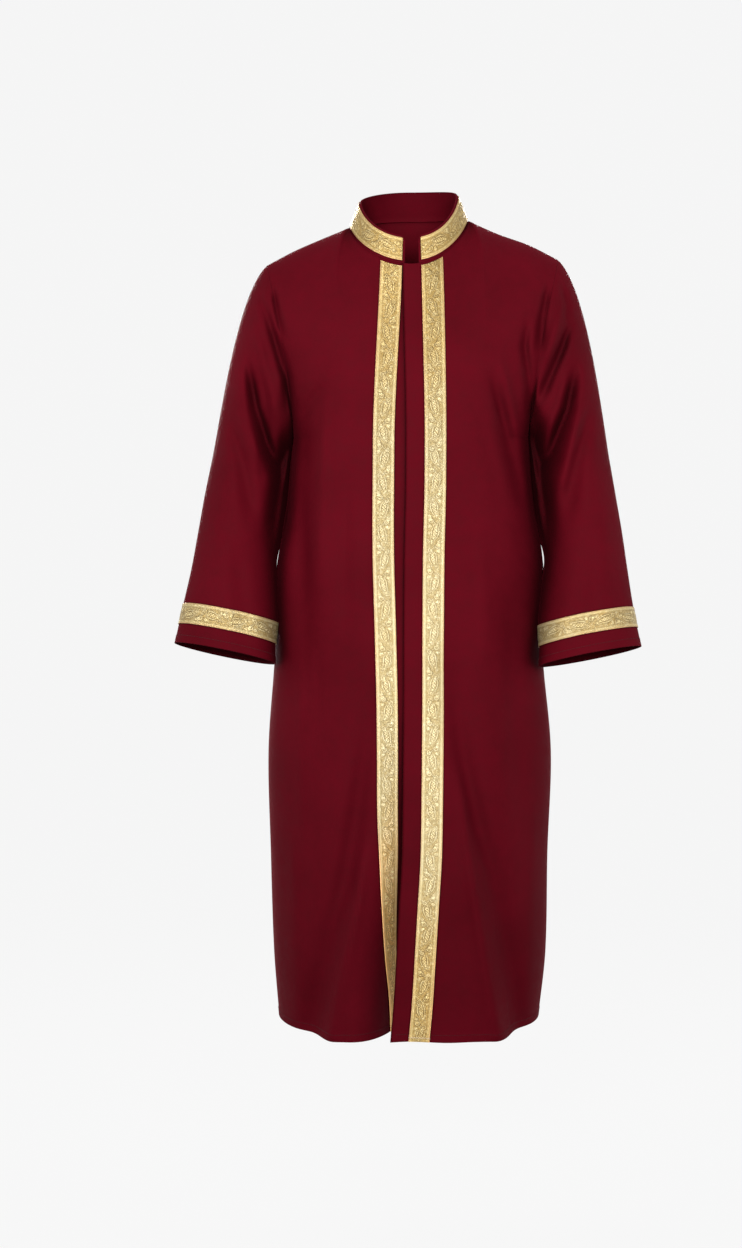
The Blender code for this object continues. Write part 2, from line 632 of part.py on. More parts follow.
class Sheet:
    """A grid of points on a cloth's outer side, with the direction out of the cloth at each."""

    def __init__(self, name, rows, turn, thickness, round_tube=False):
        self.name = name
        self.rows = rows
        self.turn = turn
        self.thickness = thickness
        self.round_tube = round_tube
        self.find_normals()

    def find_normals(self):
        columns = range(len(self.rows[0]))
        self.normals = [[self.normal_at(r, c) for c in columns] for r in range(len(self.rows))]

    def normal_at(self, r, c):
        """The direction out of the cloth at one point, from the points round it."""
        width = len(self.rows[0])
        left, right = c - 1, (c + 1) % width
        if not self.round_tube:
            left, right = max(c - 1, 0), min(c + 1, width - 1)
        across = self.rows[r][right] - self.rows[r][left]
        down = self.rows[min(r + 1, len(self.rows) - 1)][c] - self.rows[max(r - 1, 0)][c]
        return down.cross(across).normalized() * self.turn

    def push(self, amounts):
        """Moves every point out by its amount, in a ridge, or in, in a trough."""
        for row, normals, line in zip(self.rows, self.normals, amounts):
            for c in range(len(row)):
                row[c] = row[c] + normals[c] * line[c]
        self.find_normals()

    def borders(self):
        """Loops of places (row, column) round the sheet's edges, each with its sense of turn."""
        last = len(self.rows) - 1
        width = len(self.rows[0])
        top = [(0, c) for c in range(width)]
        foot = [(last, c) for c in range(width)]
        if self.round_tube:
            return [(top, self.turn), (foot, -self.turn)]
        far = [(r, width - 1) for r in range(1, last)]
        near = [(r, 0) for r in range(1, last)]
        return [(top + far + foot[::-1] + near[::-1], self.turn)]

    def draw_back(self, distance, wider=None):
        """Takes the sheet's edges back by this distance, which leaves gaps at its seams. wider
        says how many times as far each point of the first row goes."""
        moves = []
        for loop, sense in self.borders():
            points = [self.rows[r][c] for r, c in loop]
            for k, (r, c) in enumerate(loop):
                out = self.normal_at(r, c)
                before = (points[k] - points[k - 1]).cross(out).normalized()
                after = (points[(k + 1) % len(loop)] - points[k]).cross(out).normalized()
                corner = max(1 + before.dot(after), 0.5)
                times = wider[c] if wider and r == 0 else 1.0
                moves.append((r, c, (before + after) * sense * distance * times / corner))
        for r, c, move in moves:
            self.rows[r][c] = self.rows[r][c] + move

    def lifted(self, name, row_range, column_range, thickness):
        """A thin sheet that lies on part of this one, from its own points moved out."""
        width = len(self.rows[0])
        lift = SEAM_GAP + thickness
        columns = [c % width for c in column_range]
        rows = []
        normals = []
        for r in row_range:
            rows.append([self.rows[r][c] + self.normals[r][c] * lift for c in columns])
            normals.append([self.normals[r][c] for c in columns])
        sheet = Sheet(name, rows, self.turn, thickness, self.round_tube)
        sheet.normals = normals
        return sheet

    def solid(self, material):
        """The closed wall between this sheet and its inner side."""
        count = len(self.rows)
        width = len(self.rows[0])
        mesh = bmesh.new()
        outer = [[mesh.verts.new(point) for point in row] for row in self.rows]
        inner = []
        for row, normals in zip(self.rows, self.normals):
            inner.append([mesh.verts.new(p - n * self.thickness) for p, n in zip(row, normals)])
        spans = width if self.round_tube else width - 1
        for r in range(count - 1):
            for c in range(spans):
                d = (c + 1) % width
                for side in (outer, inner):
                    mesh.faces.new((side[r][c], side[r + 1][c], side[r + 1][d]))
                    mesh.faces.new((side[r][c], side[r + 1][d], side[r][d]))
        for loop, _ in self.borders():
            for k, (r, c) in enumerate(loop):
                s, d = loop[k - 1]
                add_edge_face(mesh, outer[s][d], outer[r][c], inner[r][c], inner[s][d])
        bmesh.ops.recalc_face_normals(mesh, faces=mesh.faces)
        data = bpy.data.meshes.new(self.name)
        mesh.to_mesh(data)
        mesh.free()
        data.materials.append(material)
        data.shade_smooth()
        data.set_sharp_from_angle(angle=math.radians(50))
        item = bpy.data.objects.new(self.name, data)
        bpy.context.scene.collection.objects.link(item)
        return item


def add_edge_face(mesh, a, b, inner_b, inner_a):
    """Closes the wall between two outer points and the inner points behind them. Two sheets that
    meet at a seam split this face the same way."""
    if a.co.dot(EDGE_ORDER) < b.co.dot(EDGE_ORDER):
        mesh.faces.new((a, b, inner_b))
        mesh.faces.new((a, inner_b, inner_a))
    else:
        mesh.faces.new((a, b, inner_a))
        mesh.faces.new((b, inner_b, inner_a))


def place_key(point):
    return tuple(round(value * 1e5) for value in point)


def share_normals(sheets):
    """Gives the sheets that meet at a seam the same direction there, so their edges match."""
    meeting = {}
    for sheet in sheets:
        for loop, _ in sheet.borders():
            for r, c in loop:
                meeting.setdefault(place_key(sheet.rows[r][c]), []).append((sheet, r, c))
    for places in meeting.values():
        shared = sum((sheet.normals[r][c] for sheet, r, c in places), Vector()) / len(places)
        if shared.length > 0.8:
            for sheet, r, c in places:
                sheet.normals[r][c] = shared.normalized()


# ---- Folds -----------------------------------------------------------------------------------


def fold_height(fold, place, z, at_hem, fade):
    """What one fold adds at this place across it and this height."""
    if z > fold.upper_z:
        return 0.0
    share = (z - fold.upper_z) / (fold.lower_z - fold.upper_z)
    if share > 1:
        return 0.0
    strength = ease((fold.upper_z - z) / fade)
    if not at_hem:
        strength *= ease((z - fold.lower_z) / fade)
    middle = mix(*place_ends(fold), share)
    return fold.height * strength * math.exp(-(((place - middle) / fold.width) ** 2))


def place_ends(fold):
    if isinstance(fold, Fold):
        return fold.upper_x, fold.lower_x
    return fold.upper_angle, fold.lower_angle


def body_fold_amounts(panel, rows):
    folds = [fold for fold in BODY_FOLDS if fold.panel == panel]
    amounts = []
    for row in rows:
        line = []
        for point in row:
            total = 0.0
            for fold in folds:
                at_hem = fold.lower_z <= HEM_Z
                total += fold_height(fold, abs(point.x), point.z, at_hem, FOLD_FADE)
            line.append(total)
        line[-1] = 0.0  # the armhole and the side seam stay where their other piece meets them
        amounts.append(line)
    return amounts


def sleeve_fold_amounts(side, rows):
    folds = [fold for fold in SLEEVE_FOLDS if fold.sleeve == side]
    turns = [math.degrees(turn) for _, turn in sleeve_samples(side)]
    amounts = []
    for r, row in enumerate(rows):
        line = []
        for point, turn in zip(row, turns):
            total = sum(fold_height(fold, turn, point.z, False, SLEEVE_FOLD_FADE) for fold in folds)
            line.append(total if r else 0.0)
        amounts.append(line)
    return amounts


# ---- Pieces ----------------------------------------------------------------------------------


def make_fronts():
    sheets = []
    for side in ("left", "right"):
        name = "front_" + side
        sheet = Sheet(name, body_grid(side, "front"), sign_of(side), CLOTH)
        sheet.push(body_fold_amounts(name, sheet.rows))
        sheets.append(sheet)
    return sheets


def make_back():
    right = body_grid("right", "back")
    left = body_grid("left", "back")
    amounts = []
    right_amounts = body_fold_amounts("back_right", right)
    left_amounts = body_fold_amounts("back_left", left)
    for far, near in zip(right_amounts, left_amounts):
        amounts.append(far[::-1] + near[1:])
    rows = [far[::-1] + near[1:] for far, near in zip(right, left)]
    sheet = Sheet("back", rows, -1, CLOTH)
    sheet.push(amounts)
    return sheet


def make_sleeves():
    sheets = []
    for side in ("left", "right"):
        sheet = Sheet("sleeve_" + side, sleeve_grid(side), -sign_of(side), CLOTH, round_tube=True)
        sheet.push(sleeve_fold_amounts(side, sheet.rows))
        sheets.append(sheet)
    return sheets


def make_braids(fronts, sleeves, collar):
    """The gold braid: a strip down each front, a band round each cuff and one on the collar."""
    braids = []
    strip = range(EXTENSION_COLUMNS, EXTENSION_COLUMNS + STRIP_COLUMNS + 1)
    for front in fronts:
        name = front.name.replace("front", "front_trim")
        braids.append(front.lifted(name, range(1, len(front.rows)), strip, BRAID))
    for sleeve in sleeves:
        name = sleeve.name.replace("sleeve", "cuff_trim")
        last = len(sleeve.rows) - 2
        around = range(len(sleeve.rows[0]))
        braids.append(sleeve.lifted(name, range(last - CUFF_BRAID_ROWS, last + 1), around, BRAID))
    ends = 2  # the collar's points between its end and its braid
    middle = range(ends, len(collar.rows[0]) - ends)
    braids.append(collar.lifted("collar_trim", range(1, len(collar.rows) - 1), middle, BRAID))
    return braids


def make_material(name, colour, roughness, metallic):
    material = bpy.data.materials.new(name)
    material.use_nodes = True
    shader = material.node_tree.nodes["Principled BSDF"]
    shader.inputs["Base Color"].default_value = colour
    shader.inputs["Roughness"].default_value = roughness
    shader.inputs["Metallic"].default_value = metallic
    material.diffuse_color = colour
    return material


def main():
    for item in list(bpy.data.objects):
        bpy.data.objects.remove(item, do_unlink=True)
    fronts = make_fronts()
    sleeves = make_sleeves()
    back = make_back()
    collar = Sheet("collar", collar_grid(), -1, COLLAR_CLOTH)
    cloth = fronts + sleeves + [back, collar]
    share_normals(cloth)
    for sheet in fronts + [back, collar]:
        sheet.draw_back(SEAM_GAP / 2)
    for sheet, side in zip(sleeves, ("left", "right")):
        sheet.draw_back(SEAM_GAP / 2, armpit_widening(side))
    braids = make_braids(fronts, sleeves, collar)
    for sheet in cloth:
        sheet.solid(make_material(sheet.name + "_cloth", BURGUNDY, 0.62, 0.0))
    for sheet in braids:
        sheet.solid(make_material(sheet.name + "_braid", GOLD, 0.42, 0.35))


main()
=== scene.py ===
"""How the bisht cloak looks: fine cloth panels with their creases, brocade borders and stitching.

Metres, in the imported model's frame: +Z up, the front faces -Y and the wearer's left is +X. Each
piece lies where its CAD solid is, because its surface comes from the same named sizes.
"""

import math
from collections import namedtuple

import bpy
import numpy as np
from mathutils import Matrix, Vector


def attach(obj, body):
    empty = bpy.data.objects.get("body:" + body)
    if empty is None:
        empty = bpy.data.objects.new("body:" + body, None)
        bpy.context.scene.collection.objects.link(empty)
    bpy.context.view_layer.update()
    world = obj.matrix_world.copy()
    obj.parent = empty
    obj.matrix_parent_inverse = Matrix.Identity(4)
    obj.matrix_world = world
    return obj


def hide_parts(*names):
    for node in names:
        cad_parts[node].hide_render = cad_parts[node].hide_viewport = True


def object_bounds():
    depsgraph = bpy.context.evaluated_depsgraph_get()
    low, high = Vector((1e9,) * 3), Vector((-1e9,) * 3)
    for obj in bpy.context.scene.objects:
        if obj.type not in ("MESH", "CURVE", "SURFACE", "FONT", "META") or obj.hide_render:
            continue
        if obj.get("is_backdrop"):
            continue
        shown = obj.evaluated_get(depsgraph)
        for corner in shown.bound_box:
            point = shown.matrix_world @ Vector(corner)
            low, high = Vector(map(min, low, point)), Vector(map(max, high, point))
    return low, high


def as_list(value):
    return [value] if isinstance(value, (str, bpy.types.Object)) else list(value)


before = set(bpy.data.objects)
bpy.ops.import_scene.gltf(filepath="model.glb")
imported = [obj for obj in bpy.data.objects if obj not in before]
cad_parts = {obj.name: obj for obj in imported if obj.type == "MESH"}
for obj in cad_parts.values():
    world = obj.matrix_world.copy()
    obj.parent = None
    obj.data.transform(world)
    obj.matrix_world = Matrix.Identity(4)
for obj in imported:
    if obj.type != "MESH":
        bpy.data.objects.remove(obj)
CAD_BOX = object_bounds()

# ---- Cloth and seams ----

SEAM_GAP = 0.00034  # clear distance between two pieces at a seam
SEAM_REACH = 0.003  # edges this near meet at a seam, unless they face apart
LEAST_AGREEMENT = -0.3  # cosine of the widest angle between directions that don't
BRAID_WIDTH = 0.0323
ARMPIT_Z = -0.325
HEM_Z = -1.236
HEM_LIFT = 0.006  # how much higher the hem hangs at the side seams
HEM_LIFT_START = -0.95
HEM_LIFT_POWER = 6  # how close to the side seams that stays

# ---- Neckline and collar ----

NECK_FRONT = 0.088  # how far the neckline reaches forward of the origin
NECK_BACK = 0.078
NECK_DROP = 0.0615  # how far the neckline dips at the centre front
NECK_BACK_RISE = 0.020
NECK_CURVE = 1.3
COLLAR_HEIGHT = 0.0435  # measured up the collar's slant
COLLAR_PAST_STRIP = 0.004  # how far each end passes its strip's inner edge
COLLAR_CORNER = 0.008  # radius of its upper front corners
COLLAR_LEAN_SIDE = 0.0165  # how far its top edge leans in at the sides
COLLAR_LEAN_FRONT = 0.008
COLLAR_LEAN_BACK = 0.012
COLLAR_BRAID_LOW = 0.0045  # bare cloth between the neck seam and the braid
COLLAR_BRAID_TOP = 0.0400

# Each side's shoulder seam, from the neckline to the top of the armhole. The wearer's left
# shoulder sits a little higher than the right one.
Shoulder = namedtuple("Shoulder", "x z")
SHOULDER_RIGHT = (
    Shoulder(0.0945, 0.0000),
    Shoulder(0.1388, -0.0180),
    Shoulder(0.1794, -0.0355),
    Shoulder(0.2220, -0.0578),
)
SHOULDER_LEFT = (
    Shoulder(0.0890, 0.0105),
    Shoulder(0.1326, -0.0085),
    Shoulder(0.1825, -0.0262),
    Shoulder(0.2280, -0.0490),
)
SHOULDERS = {"right": SHOULDER_RIGHT, "left": SHOULDER_LEFT}

# ---- Body ----

# Sections of the body below the armpit: half widths on the wearer's right and left, how far the
# front and the back stand from the side seams, and the power of the section's superellipse.
Body = namedtuple("Body", "z right left front back power")
BODY = (
    Body(-0.325, 0.1810, 0.1830, 0.142, 0.108, 2.50),
    Body(-0.360, 0.1855, 0.1860, 0.144, 0.106, 2.50),
    Body(-0.420, 0.1910, 0.1910, 0.147, 0.105, 2.50),
    Body(-0.480, 0.2010, 0.2020, 0.149, 0.107, 2.47),
    Body(-0.530, 0.2085, 0.2078, 0.151, 0.111, 2.45),
    Body(-0.590, 0.2110, 0.2090, 0.153, 0.117, 2.42),
    Body(-0.660, 0.2112, 0.2070, 0.155, 0.124, 2.40),
    Body(-0.810, 0.2215, 0.2205, 0.162, 0.135, 2.30),
    Body(-0.970, 0.2184, 0.2160, 0.171, 0.141, 2.20),
    Body(-1.130, 0.2137, 0.2137, 0.181, 0.144, 2.10),
    Body(-1.236, 0.2060, 0.2035, 0.187, 0.145, 1.92),
)

# Where the outer edge of each front's braid strip runs, how deep the right front's edge turns in
# under the left one towards the hem, and how much the centre front hollows.
Front = namedtuple("Front", "z right left turn_in hollow")
FRONT = (
    Front(-0.065, 0.0462, 0.0475, 0.000, 0.000),
    Front(-0.115, 0.0490, 0.0470, 0.000, 0.000),
    Front(-0.210, 0.0560, 0.0510, 0.000, 0.000),
    Front(-0.390, 0.0586, 0.0514, 0.000, 0.000),
    Front(-0.500, 0.0586, 0.0492, 0.000, 0.000),
    Front(-0.620, 0.0554, 0.0484, 0.000, 0.000),
    Front(-0.730, 0.0528, 0.0483, 0.000, 0.002),
    Front(-0.885, 0.0511, 0.0471, 0.005, 0.006),
    Front(-0.960, 0.0485, 0.0457, 0.010, 0.009),
    Front(-1.035, 0.0455, 0.0412, 0.017, 0.013),
    Front(-1.110, 0.0406, 0.0367, 0.027, 0.017),
    Front(-1.180, 0.0340, 0.0323, 0.037, 0.020),
    Front(-1.236, 0.0315, 0.0274, 0.043, 0.022),
)
EXTENSION = {"left": 0.028, "right": 0.030}  # plain cloth past each strip's inner edge
LAP_DEPTH = 0.0065  # how far the right front lies behind the left one
LAP_START = 0.020  # how far past the strip's outer edge it starts to go behind
LAP_RAMP = 0.060
TURN_IN_START = 0.095
TURN_IN_RUN = 0.050
TURN_IN_STEEPEST = 1.3  # slope past the strip's outer edge
HOLLOW_HALF_WIDTH = 0.046
FOLLOW_STEPS = 8  # steps, and the distance looked ahead, when a length is followed on the cloth
FOLLOW_NEAR = 0.001

# Directions in which the cloth leaves the neckline and the shoulder seam, as (forward, down),
# and how far each run-off reaches before the cloth bends towards the armpit's level.
LEAVE_CENTRE_FRONT = (0.42, 0.91)
LEAVE_CENTRE_BACK = (0.62, 0.78)
LEAVE_SHOULDER = (0.99, 0.16)
LEAVE_ASIDE = 0.36  # sideways part of that direction at the neck point
LEAVE_ASIDE_POWER = 4  # how close to the neck point that stays
REACH_NECK = 0.15
REACH_SHOULDER = 0.31
REACH_ARMPIT = 0.22
JUST_BELOW = 0.01  # the cloth arrives at the armpit's level the way it runs on this far below
NECK_SHARE = 0.27  # share of a front's width, past the strip, that hangs from the neckline
BACK_NECK_SHARE = 0.35

# ---- Armholes and sleeves ----

ARMPIT_X = {"right": 0.1810, "left": 0.1830}
ARMHOLE_FRONT = 0.072
ARMHOLE_BACK = 0.076
ARMHOLE_SLANT = 1.6  # how quickly the armhole runs in below the shoulder
ARMHOLE_PULL = 1.6  # how closely the cloth beside the armhole follows its curve

# Sections of each sleeve by the height of its middle: inner and outer edge from the centre line,
# the middle's place forward (-) or back, half its depth, how its ring tilts, up towards the
# outside and down towards the back, and how far its inner back lies against the body, 0 to 1.
Sleeve = namedtuple("Sleeve", "z inner outer middle_y half_depth rise drop rest")
SLEEVE_RIGHT = (
    Sleeve(-0.365, 0.1960, 0.3085, -0.006, 0.073, 4, 3, 0.90),
    Sleeve(-0.420, 0.2070, 0.3190, -0.014, 0.067, 7, 6, 1.00),
    Sleeve(-0.480, 0.2115, 0.3285, -0.027, 0.061, 10, 9, 0.85),
    Sleeve(-0.540, 0.2105, 0.3385, -0.043, 0.056, 11, 11, 0.25),
    Sleeve(-0.600, 0.2085, 0.3510, -0.060, 0.052, 11.6, 12, 0.00),
    Sleeve(-0.654, 0.2075, 0.3620, -0.074, 0.048, 11.6, 12, 0.00),
)
SLEEVE_LEFT = (
    Sleeve(-0.365, 0.1960, 0.3095, -0.008, 0.073, 4, 3, 0.90),
    Sleeve(-0.420, 0.2060, 0.3180, -0.020, 0.067, 6, 6, 1.00),
    Sleeve(-0.480, 0.2090, 0.3265, -0.037, 0.061, 9, 9, 0.85),
    Sleeve(-0.540, 0.2055, 0.3335, -0.057, 0.056, 10, 11, 0.25),
    Sleeve(-0.600, 0.1985, 0.3410, -0.078, 0.052, 11, 12, 0.00),
    Sleeve(-0.657, 0.1945, 0.3510, -0.096, 0.048, 11, 12, 0.00),
)
SLEEVES = {"right": SLEEVE_RIGHT, "left": SLEEVE_LEFT}
REST_MIDDLE = 222  # degrees round the sleeve at the middle of what lies against the body
REST_WIDTH = 62
REST_STEEPNESS = 1.6  # above 1, its middle lies flat against the body
REST_CLEAR = 0.0028  # distance kept there from the body's side
CUFF_TO_BRAID = 0.030
CAP_REACH_TOP = 0.19  # how far the sleeve runs on outward from the armhole's top and bottom
CAP_REACH_BOTTOM = 0.03
CAP_REACH_RING = 0.20
CAP_LEAVE_TOP = (0.74, 0.67)  # (outward, down)
CAP_LEAVE_BOTTOM = (0.55, 0.83)

# ---- Folds and creases ----

# The largest folds run from an upper to a lower end. upper and lower are distances from the
# centre line on the body, and degrees round a sleeve: 0 is the outside, 90 the front and 270 the
# back. A fold is a ridge where its height is positive and a trough where it is negative.
Fold = namedtuple("Fold", "panel upper upper_z lower lower_z width height")
FOLDS = (
    Fold("front_right", 0.055, -0.80, 0.152, -1.236, 0.026, -0.007),
    Fold("front_right", 0.078, -0.98, 0.116, -1.236, 0.028, 0.012),
    Fold("front_right", 0.118, -0.26, 0.140, -0.60, 0.022, 0.007),
    Fold("front_right", 0.172, -0.36, 0.164, -0.72, 0.020, -0.008),
    Fold("front_left", 0.052, -0.58, 0.163, -1.236, 0.026, -0.007),
    Fold("front_left", 0.083, -0.90, 0.128, -1.236, 0.030, 0.016),
    Fold("front_left", 0.122, -0.23, 0.176, -0.46, 0.020, -0.006),
    Fold("front_left", 0.150, -0.50, 0.172, -0.95, 0.022, -0.006),
    Fold("back_right", 0.040, -0.52, 0.052, -1.236, 0.022, -0.009),
    Fold("back_right", 0.098, -0.40, 0.120, -1.236, 0.024, 0.008),
    Fold("back_left", 0.030, -0.45, 0.046, -1.236, 0.022, 0.008),
    Fold("back_left", 0.086, -0.60, 0.108, -1.236, 0.022, -0.009),
    Fold("back_left", 0.140, -0.36, 0.156, -1.236, 0.024, 0.007),
    Fold("sleeve_right", 62, -0.15, 138, -0.42, 16, -0.007),
    Fold("sleeve_right", 100, -0.20, 160, -0.37, 15, 0.005),
    Fold("sleeve_right", 255, -0.17, 215, -0.42, 17, -0.006),
    Fold("sleeve_right", 195, -0.296, 195, -0.535, 34, 0.0054),
    Fold("sleeve_right", 195, -0.488, 195, -0.655, 34, 0.0055),
    Fold("sleeve_left", 195, -0.300, 195, -0.524, 34, 0.0056),
    Fold("sleeve_left", 195, -0.498, 195, -0.655, 34, 0.0055),
    Fold("sleeve_left", 58, -0.17, 140, -0.40, 16, -0.007),
    Fold("sleeve_left", 98, -0.20, 160, -0.35, 15, 0.005),
    Fold("sleeve_left", 262, -0.16, 222, -0.40, 17, -0.006),
)
FOLD_FADE = 0.12  # length over which a fold starts and ends, unless it runs out at the hem
SLEEVE_FOLD_FADE = 0.06

# A crease follows a bent line and stands out by its height, or in where that is negative. It
# runs out at its upper end, and at its lower one too unless that is the hem.
Crease = namedtuple("Crease", "line width height ends")


def crease(width, height, *line, ends=True):
    """A crease from its sizes and its line's (x, z) points, all in millimetres."""
    return Crease([(x / 1000, z / 1000) for x, z in line], width / 1000, height / 1000, ends)


FRONT_CREASES = (
    # the wearer's right sleeve
    crease(7.2, -13.0, (-233, -90), (-224, -122), (-204, -187), (-190, -233), (-186, -304)),
    crease(9.0, 6.4, (-243, -142), (-229, -193), (-212, -263), (-200, -327)),
    crease(8.5, -19.0, (-253, -190), (-238, -279), (-223, -330), (-204, -373), (-189, -401)),
    crease(24.0, -9.0, (-246, -175), (-218, -297), (-193, -419)),
    crease(13.0, -22.0, (-189, -297), (-197, -404), (-206, -505)),
    crease(5.5, -7.2, (-212, -87), (-204, -133), (-193, -183)),
    crease(5.0, 3.6, (-227, -93), (-218, -142), (-206, -169)),
    crease(10.0, 7.0, (-243, -304), (-227, -361), (-210, -419)),
    crease(13.0, -10.0, (-279, -274), (-255, -373), (-238, -473)),
    crease(17.0, 3.0, (-298, -419), (-289, -511), (-283, -634)),
    crease(14.0, -3.0, (-267, -480), (-256, -573), (-252, -665)),
    # the wearer's left sleeve
    crease(8.0, -16.0, (249, -133), (232, -184), (209, -239), (190, -285)),
    crease(8.0, 6.0, (233, -117), (216, -172), (201, -224)),
    crease(9.2, -19.0, (256, -202), (241, -282), (218, -343), (195, -398)),
    crease(24.0, -9.0, (252, -175), (224, -297), (200, -419)),
    crease(14.0, -23.0, (189, -259), (197, -373), (207, -505)),
    crease(8.2, 6.4, (240, -218), (224, -279), (206, -327)),
    crease(10.0, 6.8, (264, -263), (235, -370), (215, -434)),
    crease(13.0, -10.0, (279, -257), (253, -361), (233, -473)),
    crease(5.5, -6.0, (230, -84), (240, -121), (236, -160)),
    crease(17.0, 3.0, (298, -419), (292, -511), (289, -634)),
    crease(14.0, -3.0, (267, -480), (258, -573), (255, -665)),
    # chest and waist
    crease(6.5, -8.5, (212, -80), (200, -140), (194, -200)),
    crease(8.0, -10.0, (179, -132), (172, -186), (181, -252), (185, -322)),
    crease(10.5, -11.0, (116, -211), (142, -310), (166, -403), (184, -463)),
    crease(20.0, -6.0, (148, -193), (169, -313), (183, -418)),
    crease(8.0, 5.2, (131, -193), (156, -290), (175, -364)),
    crease(11.0, -3.0, (91, -256), (116, -343), (140, -463)),
    crease(9.5, -5.0, (-172, -304), (-151, -268), (-121, -238)),
    crease(8.5, 4.8, (-125, -226), (-133, -328), (-136, -448), (-142, -569)),
    crease(15.0, -8.5, (-157, -268), (-162, -403), (-166, -600)),
    crease(11.0, -2.2, (-98, -373), (-101, -508), (-96, -660)),
    crease(12.0, 2.4, (102, -448), (110, -569), (115, -690)),
    # skirt
    crease(
        16.0, -9.5,
        (55, -673), (75, -803), (108, -946), (138, -1073), (154, -1162), (162, -1237), ends=False,
    ),
    crease(8.5, 7.0, (63, -778), (94, -1005), (114, -1135), (133, -1228), ends=False),
    crease(16.0, -9.0, (-57, -703), (-78, -852), (-97, -983), (-132, -1139), (-147, -1222), ends=False),
    crease(8.5, 7.2, (-66, -914), (-81, -1028), (-105, -1130), (-123, -1228), ends=False),
    crease(7.5, 2.2, (-168, -630), (-169, -782), (-165, -966)),
    crease(8.0, -2.0, (-142, -614), (-139, -751), (-133, -903)),
    crease(12.0, 4.0, (-181, -905), (-178, -1059), (-175, -1205), ends=False),
    crease(12.0, 3.6, (189, -874), (186, -1028), (181, -1198), ends=False),
)
BACK_CREASES = (
    crease(9.0, -8.4, (-262, -200), (-244, -285), (-214, -385)),
    crease(12.0, 5.2, (-277, -230), (-260, -300), (-232, -392)),
    crease(9.0, -7.2, (-243, -100), (-222, -176), (-190, -246)),
    crease(15.0, -4.3, (-290, -290), (-272, -390), (-258, -500)),
    crease(9.0, -7.2, (242, -110), (210, -205), (184, -262)),
    crease(9.0, -8.4, (246, -245), (226, -325), (208, -388)),
    crease(12.0, 5.2, (262, -262), (244, -336), (224, -400)),
    crease(15.0, -4.3, (284, -240), (262, -370), (250, -500)),
    crease(11.0, -4.9, (-95, -190), (-118, -300), (-168, -430)),
    crease(11.0, -4.9, (88, -180), (116, -290), (170, -410)),
    crease(11.0, -3.8, (-60, -100), (0, -118), (64, -98)),
    crease(15.0, -5.8, (-44, -460), (-50, -760), (-60, -1240), ends=False),
    crease(15.0, -6.1, (74, -540), (92, -860), (104, -1240), ends=False),
    crease(15.0, 4.9, (-122, -480), (-130, -800), (-138, -1240), ends=False),
    crease(17.0, 4.3, (12, -420), (6, -800), (-6, -1240), ends=False),
    crease(15.0, -4.3, (150, -500), (164, -800), (166, -1150)),
)
CREASE_RUN_OUT = 0.3  # share of its line over which a crease starts and ends
CREASE_WIDENING = (0.75, 1.25)  # share of its width that it has at its upper and lower end
RIPPLE = 0.0011
RIPPLE_WAVES = 9
FOLD_CLEAR_ROWS = 3.4  # rows below an armhole in which the largest folds run out
FOLD_CLEAR_COLUMNS = 2.2  # and columns beside a side seam
FACING_FADE = 0.6  # share of the way to its middle at which a face has its creases in full
HELD_COLUMNS = 4  # columns beside a side seam in which they run out, below the armpit
HELD_ROWS = 8  # rows below the armpit over which that sets in
EASING = 24  # rounds of evening out across the chest and the upper back
EASING_TOP_ROWS = 5  # rows over which that sets in, and over which it ends above the armpit
EASING_LAST_ROWS = 14

# ---- Hems, thickness and braid ----

HEM_DEPTH = 0.0135
HEM_STITCHES = HEM_DEPTH - 0.002
HEM_STEP = 0.0005  # how much the doubled cloth of a hem stands out
HEM_STEP_RUN = 0.0024
STITCH_PULL = 0.00035  # how deep its stitches pull the cloth in, and over what half width
STITCH_PULL_WIDTH = 0.0011
SEAM_ROLL = 0.0001  # how far a seam's edge turns in, and its allowance beside it stands out
ALLOWANCE_MIDDLE = 0.0065
ALLOWANCE_WIDTH = 0.0035
SEWN_PULL = 0.0006  # how deep the cloth is pulled in where a braid or the collar is sewn on
SEWN_PULL_WIDTH = 0.0016
RIM_PULL = 0.0005  # the same round the collar's edge
RIM_PULL_WIDTH = 0.0012
SHELL = 0.0015  # thickness of the cloth
COLLAR_SHELL = 0.0022
COLLAR_FACING = 0.0030  # how far the collar's inside reaches down over the neck seam
SHELL_GAP = -0.0003  # the panels' edges meet and press into each other a little
EDGE_ROUND = 0.12  # how far a cloth's edge bulges, as a share of its thickness
BRAID_BODY = 0.0007  # the braid's thickness under its relief
BRAID_STEP = 0.0009  # spacing of its points
BRAID_BACKS = 6  # spans across its back
BRAID_WALK = 200  # places at which its length along the cloth is measured
FIGURED_HALF = 9.9  # where its figured ground ends, in millimetres from its middle
CORD_MIDDLE = 15.2  # where the cord of its rim runs
BRAID_EDGE = 16.05  # where its edge rounds off
TURN_SHOWN = 0.15  # how far a front has to turn in before its braid gets painted light
TURN_RUN = 0.50
STRIP_START = 0.030  # share of the run from the neck to the armpit above the front braids
REPEAT = 0.076  # length after which its pattern comes again

# The ornament of half a repeat, in millimetres. Each curl and sprig has its place along from the
# drop, 1 on the drop's own side of the braid or -1 on the other one, and each curl further has
# its place across and its size.
DROP_LENGTH = 28.0
DROP_HALF_WIDTH = 7.4
STEM_PLACE = 19.0
CURLS = ((16.2, -1, 4.4, 4.2), (22.6, 1, 5.2, 3.4), (9.5, -1, 7.2, 2.3), (-13.2, 1, 7.6, 2.0))
SPRIGS = ((-16.0, -1), (12.0, 1))
LEAF_LEANS = (-0.75, 0.0, 0.75)

# ---- How finely the cloth is divided ----

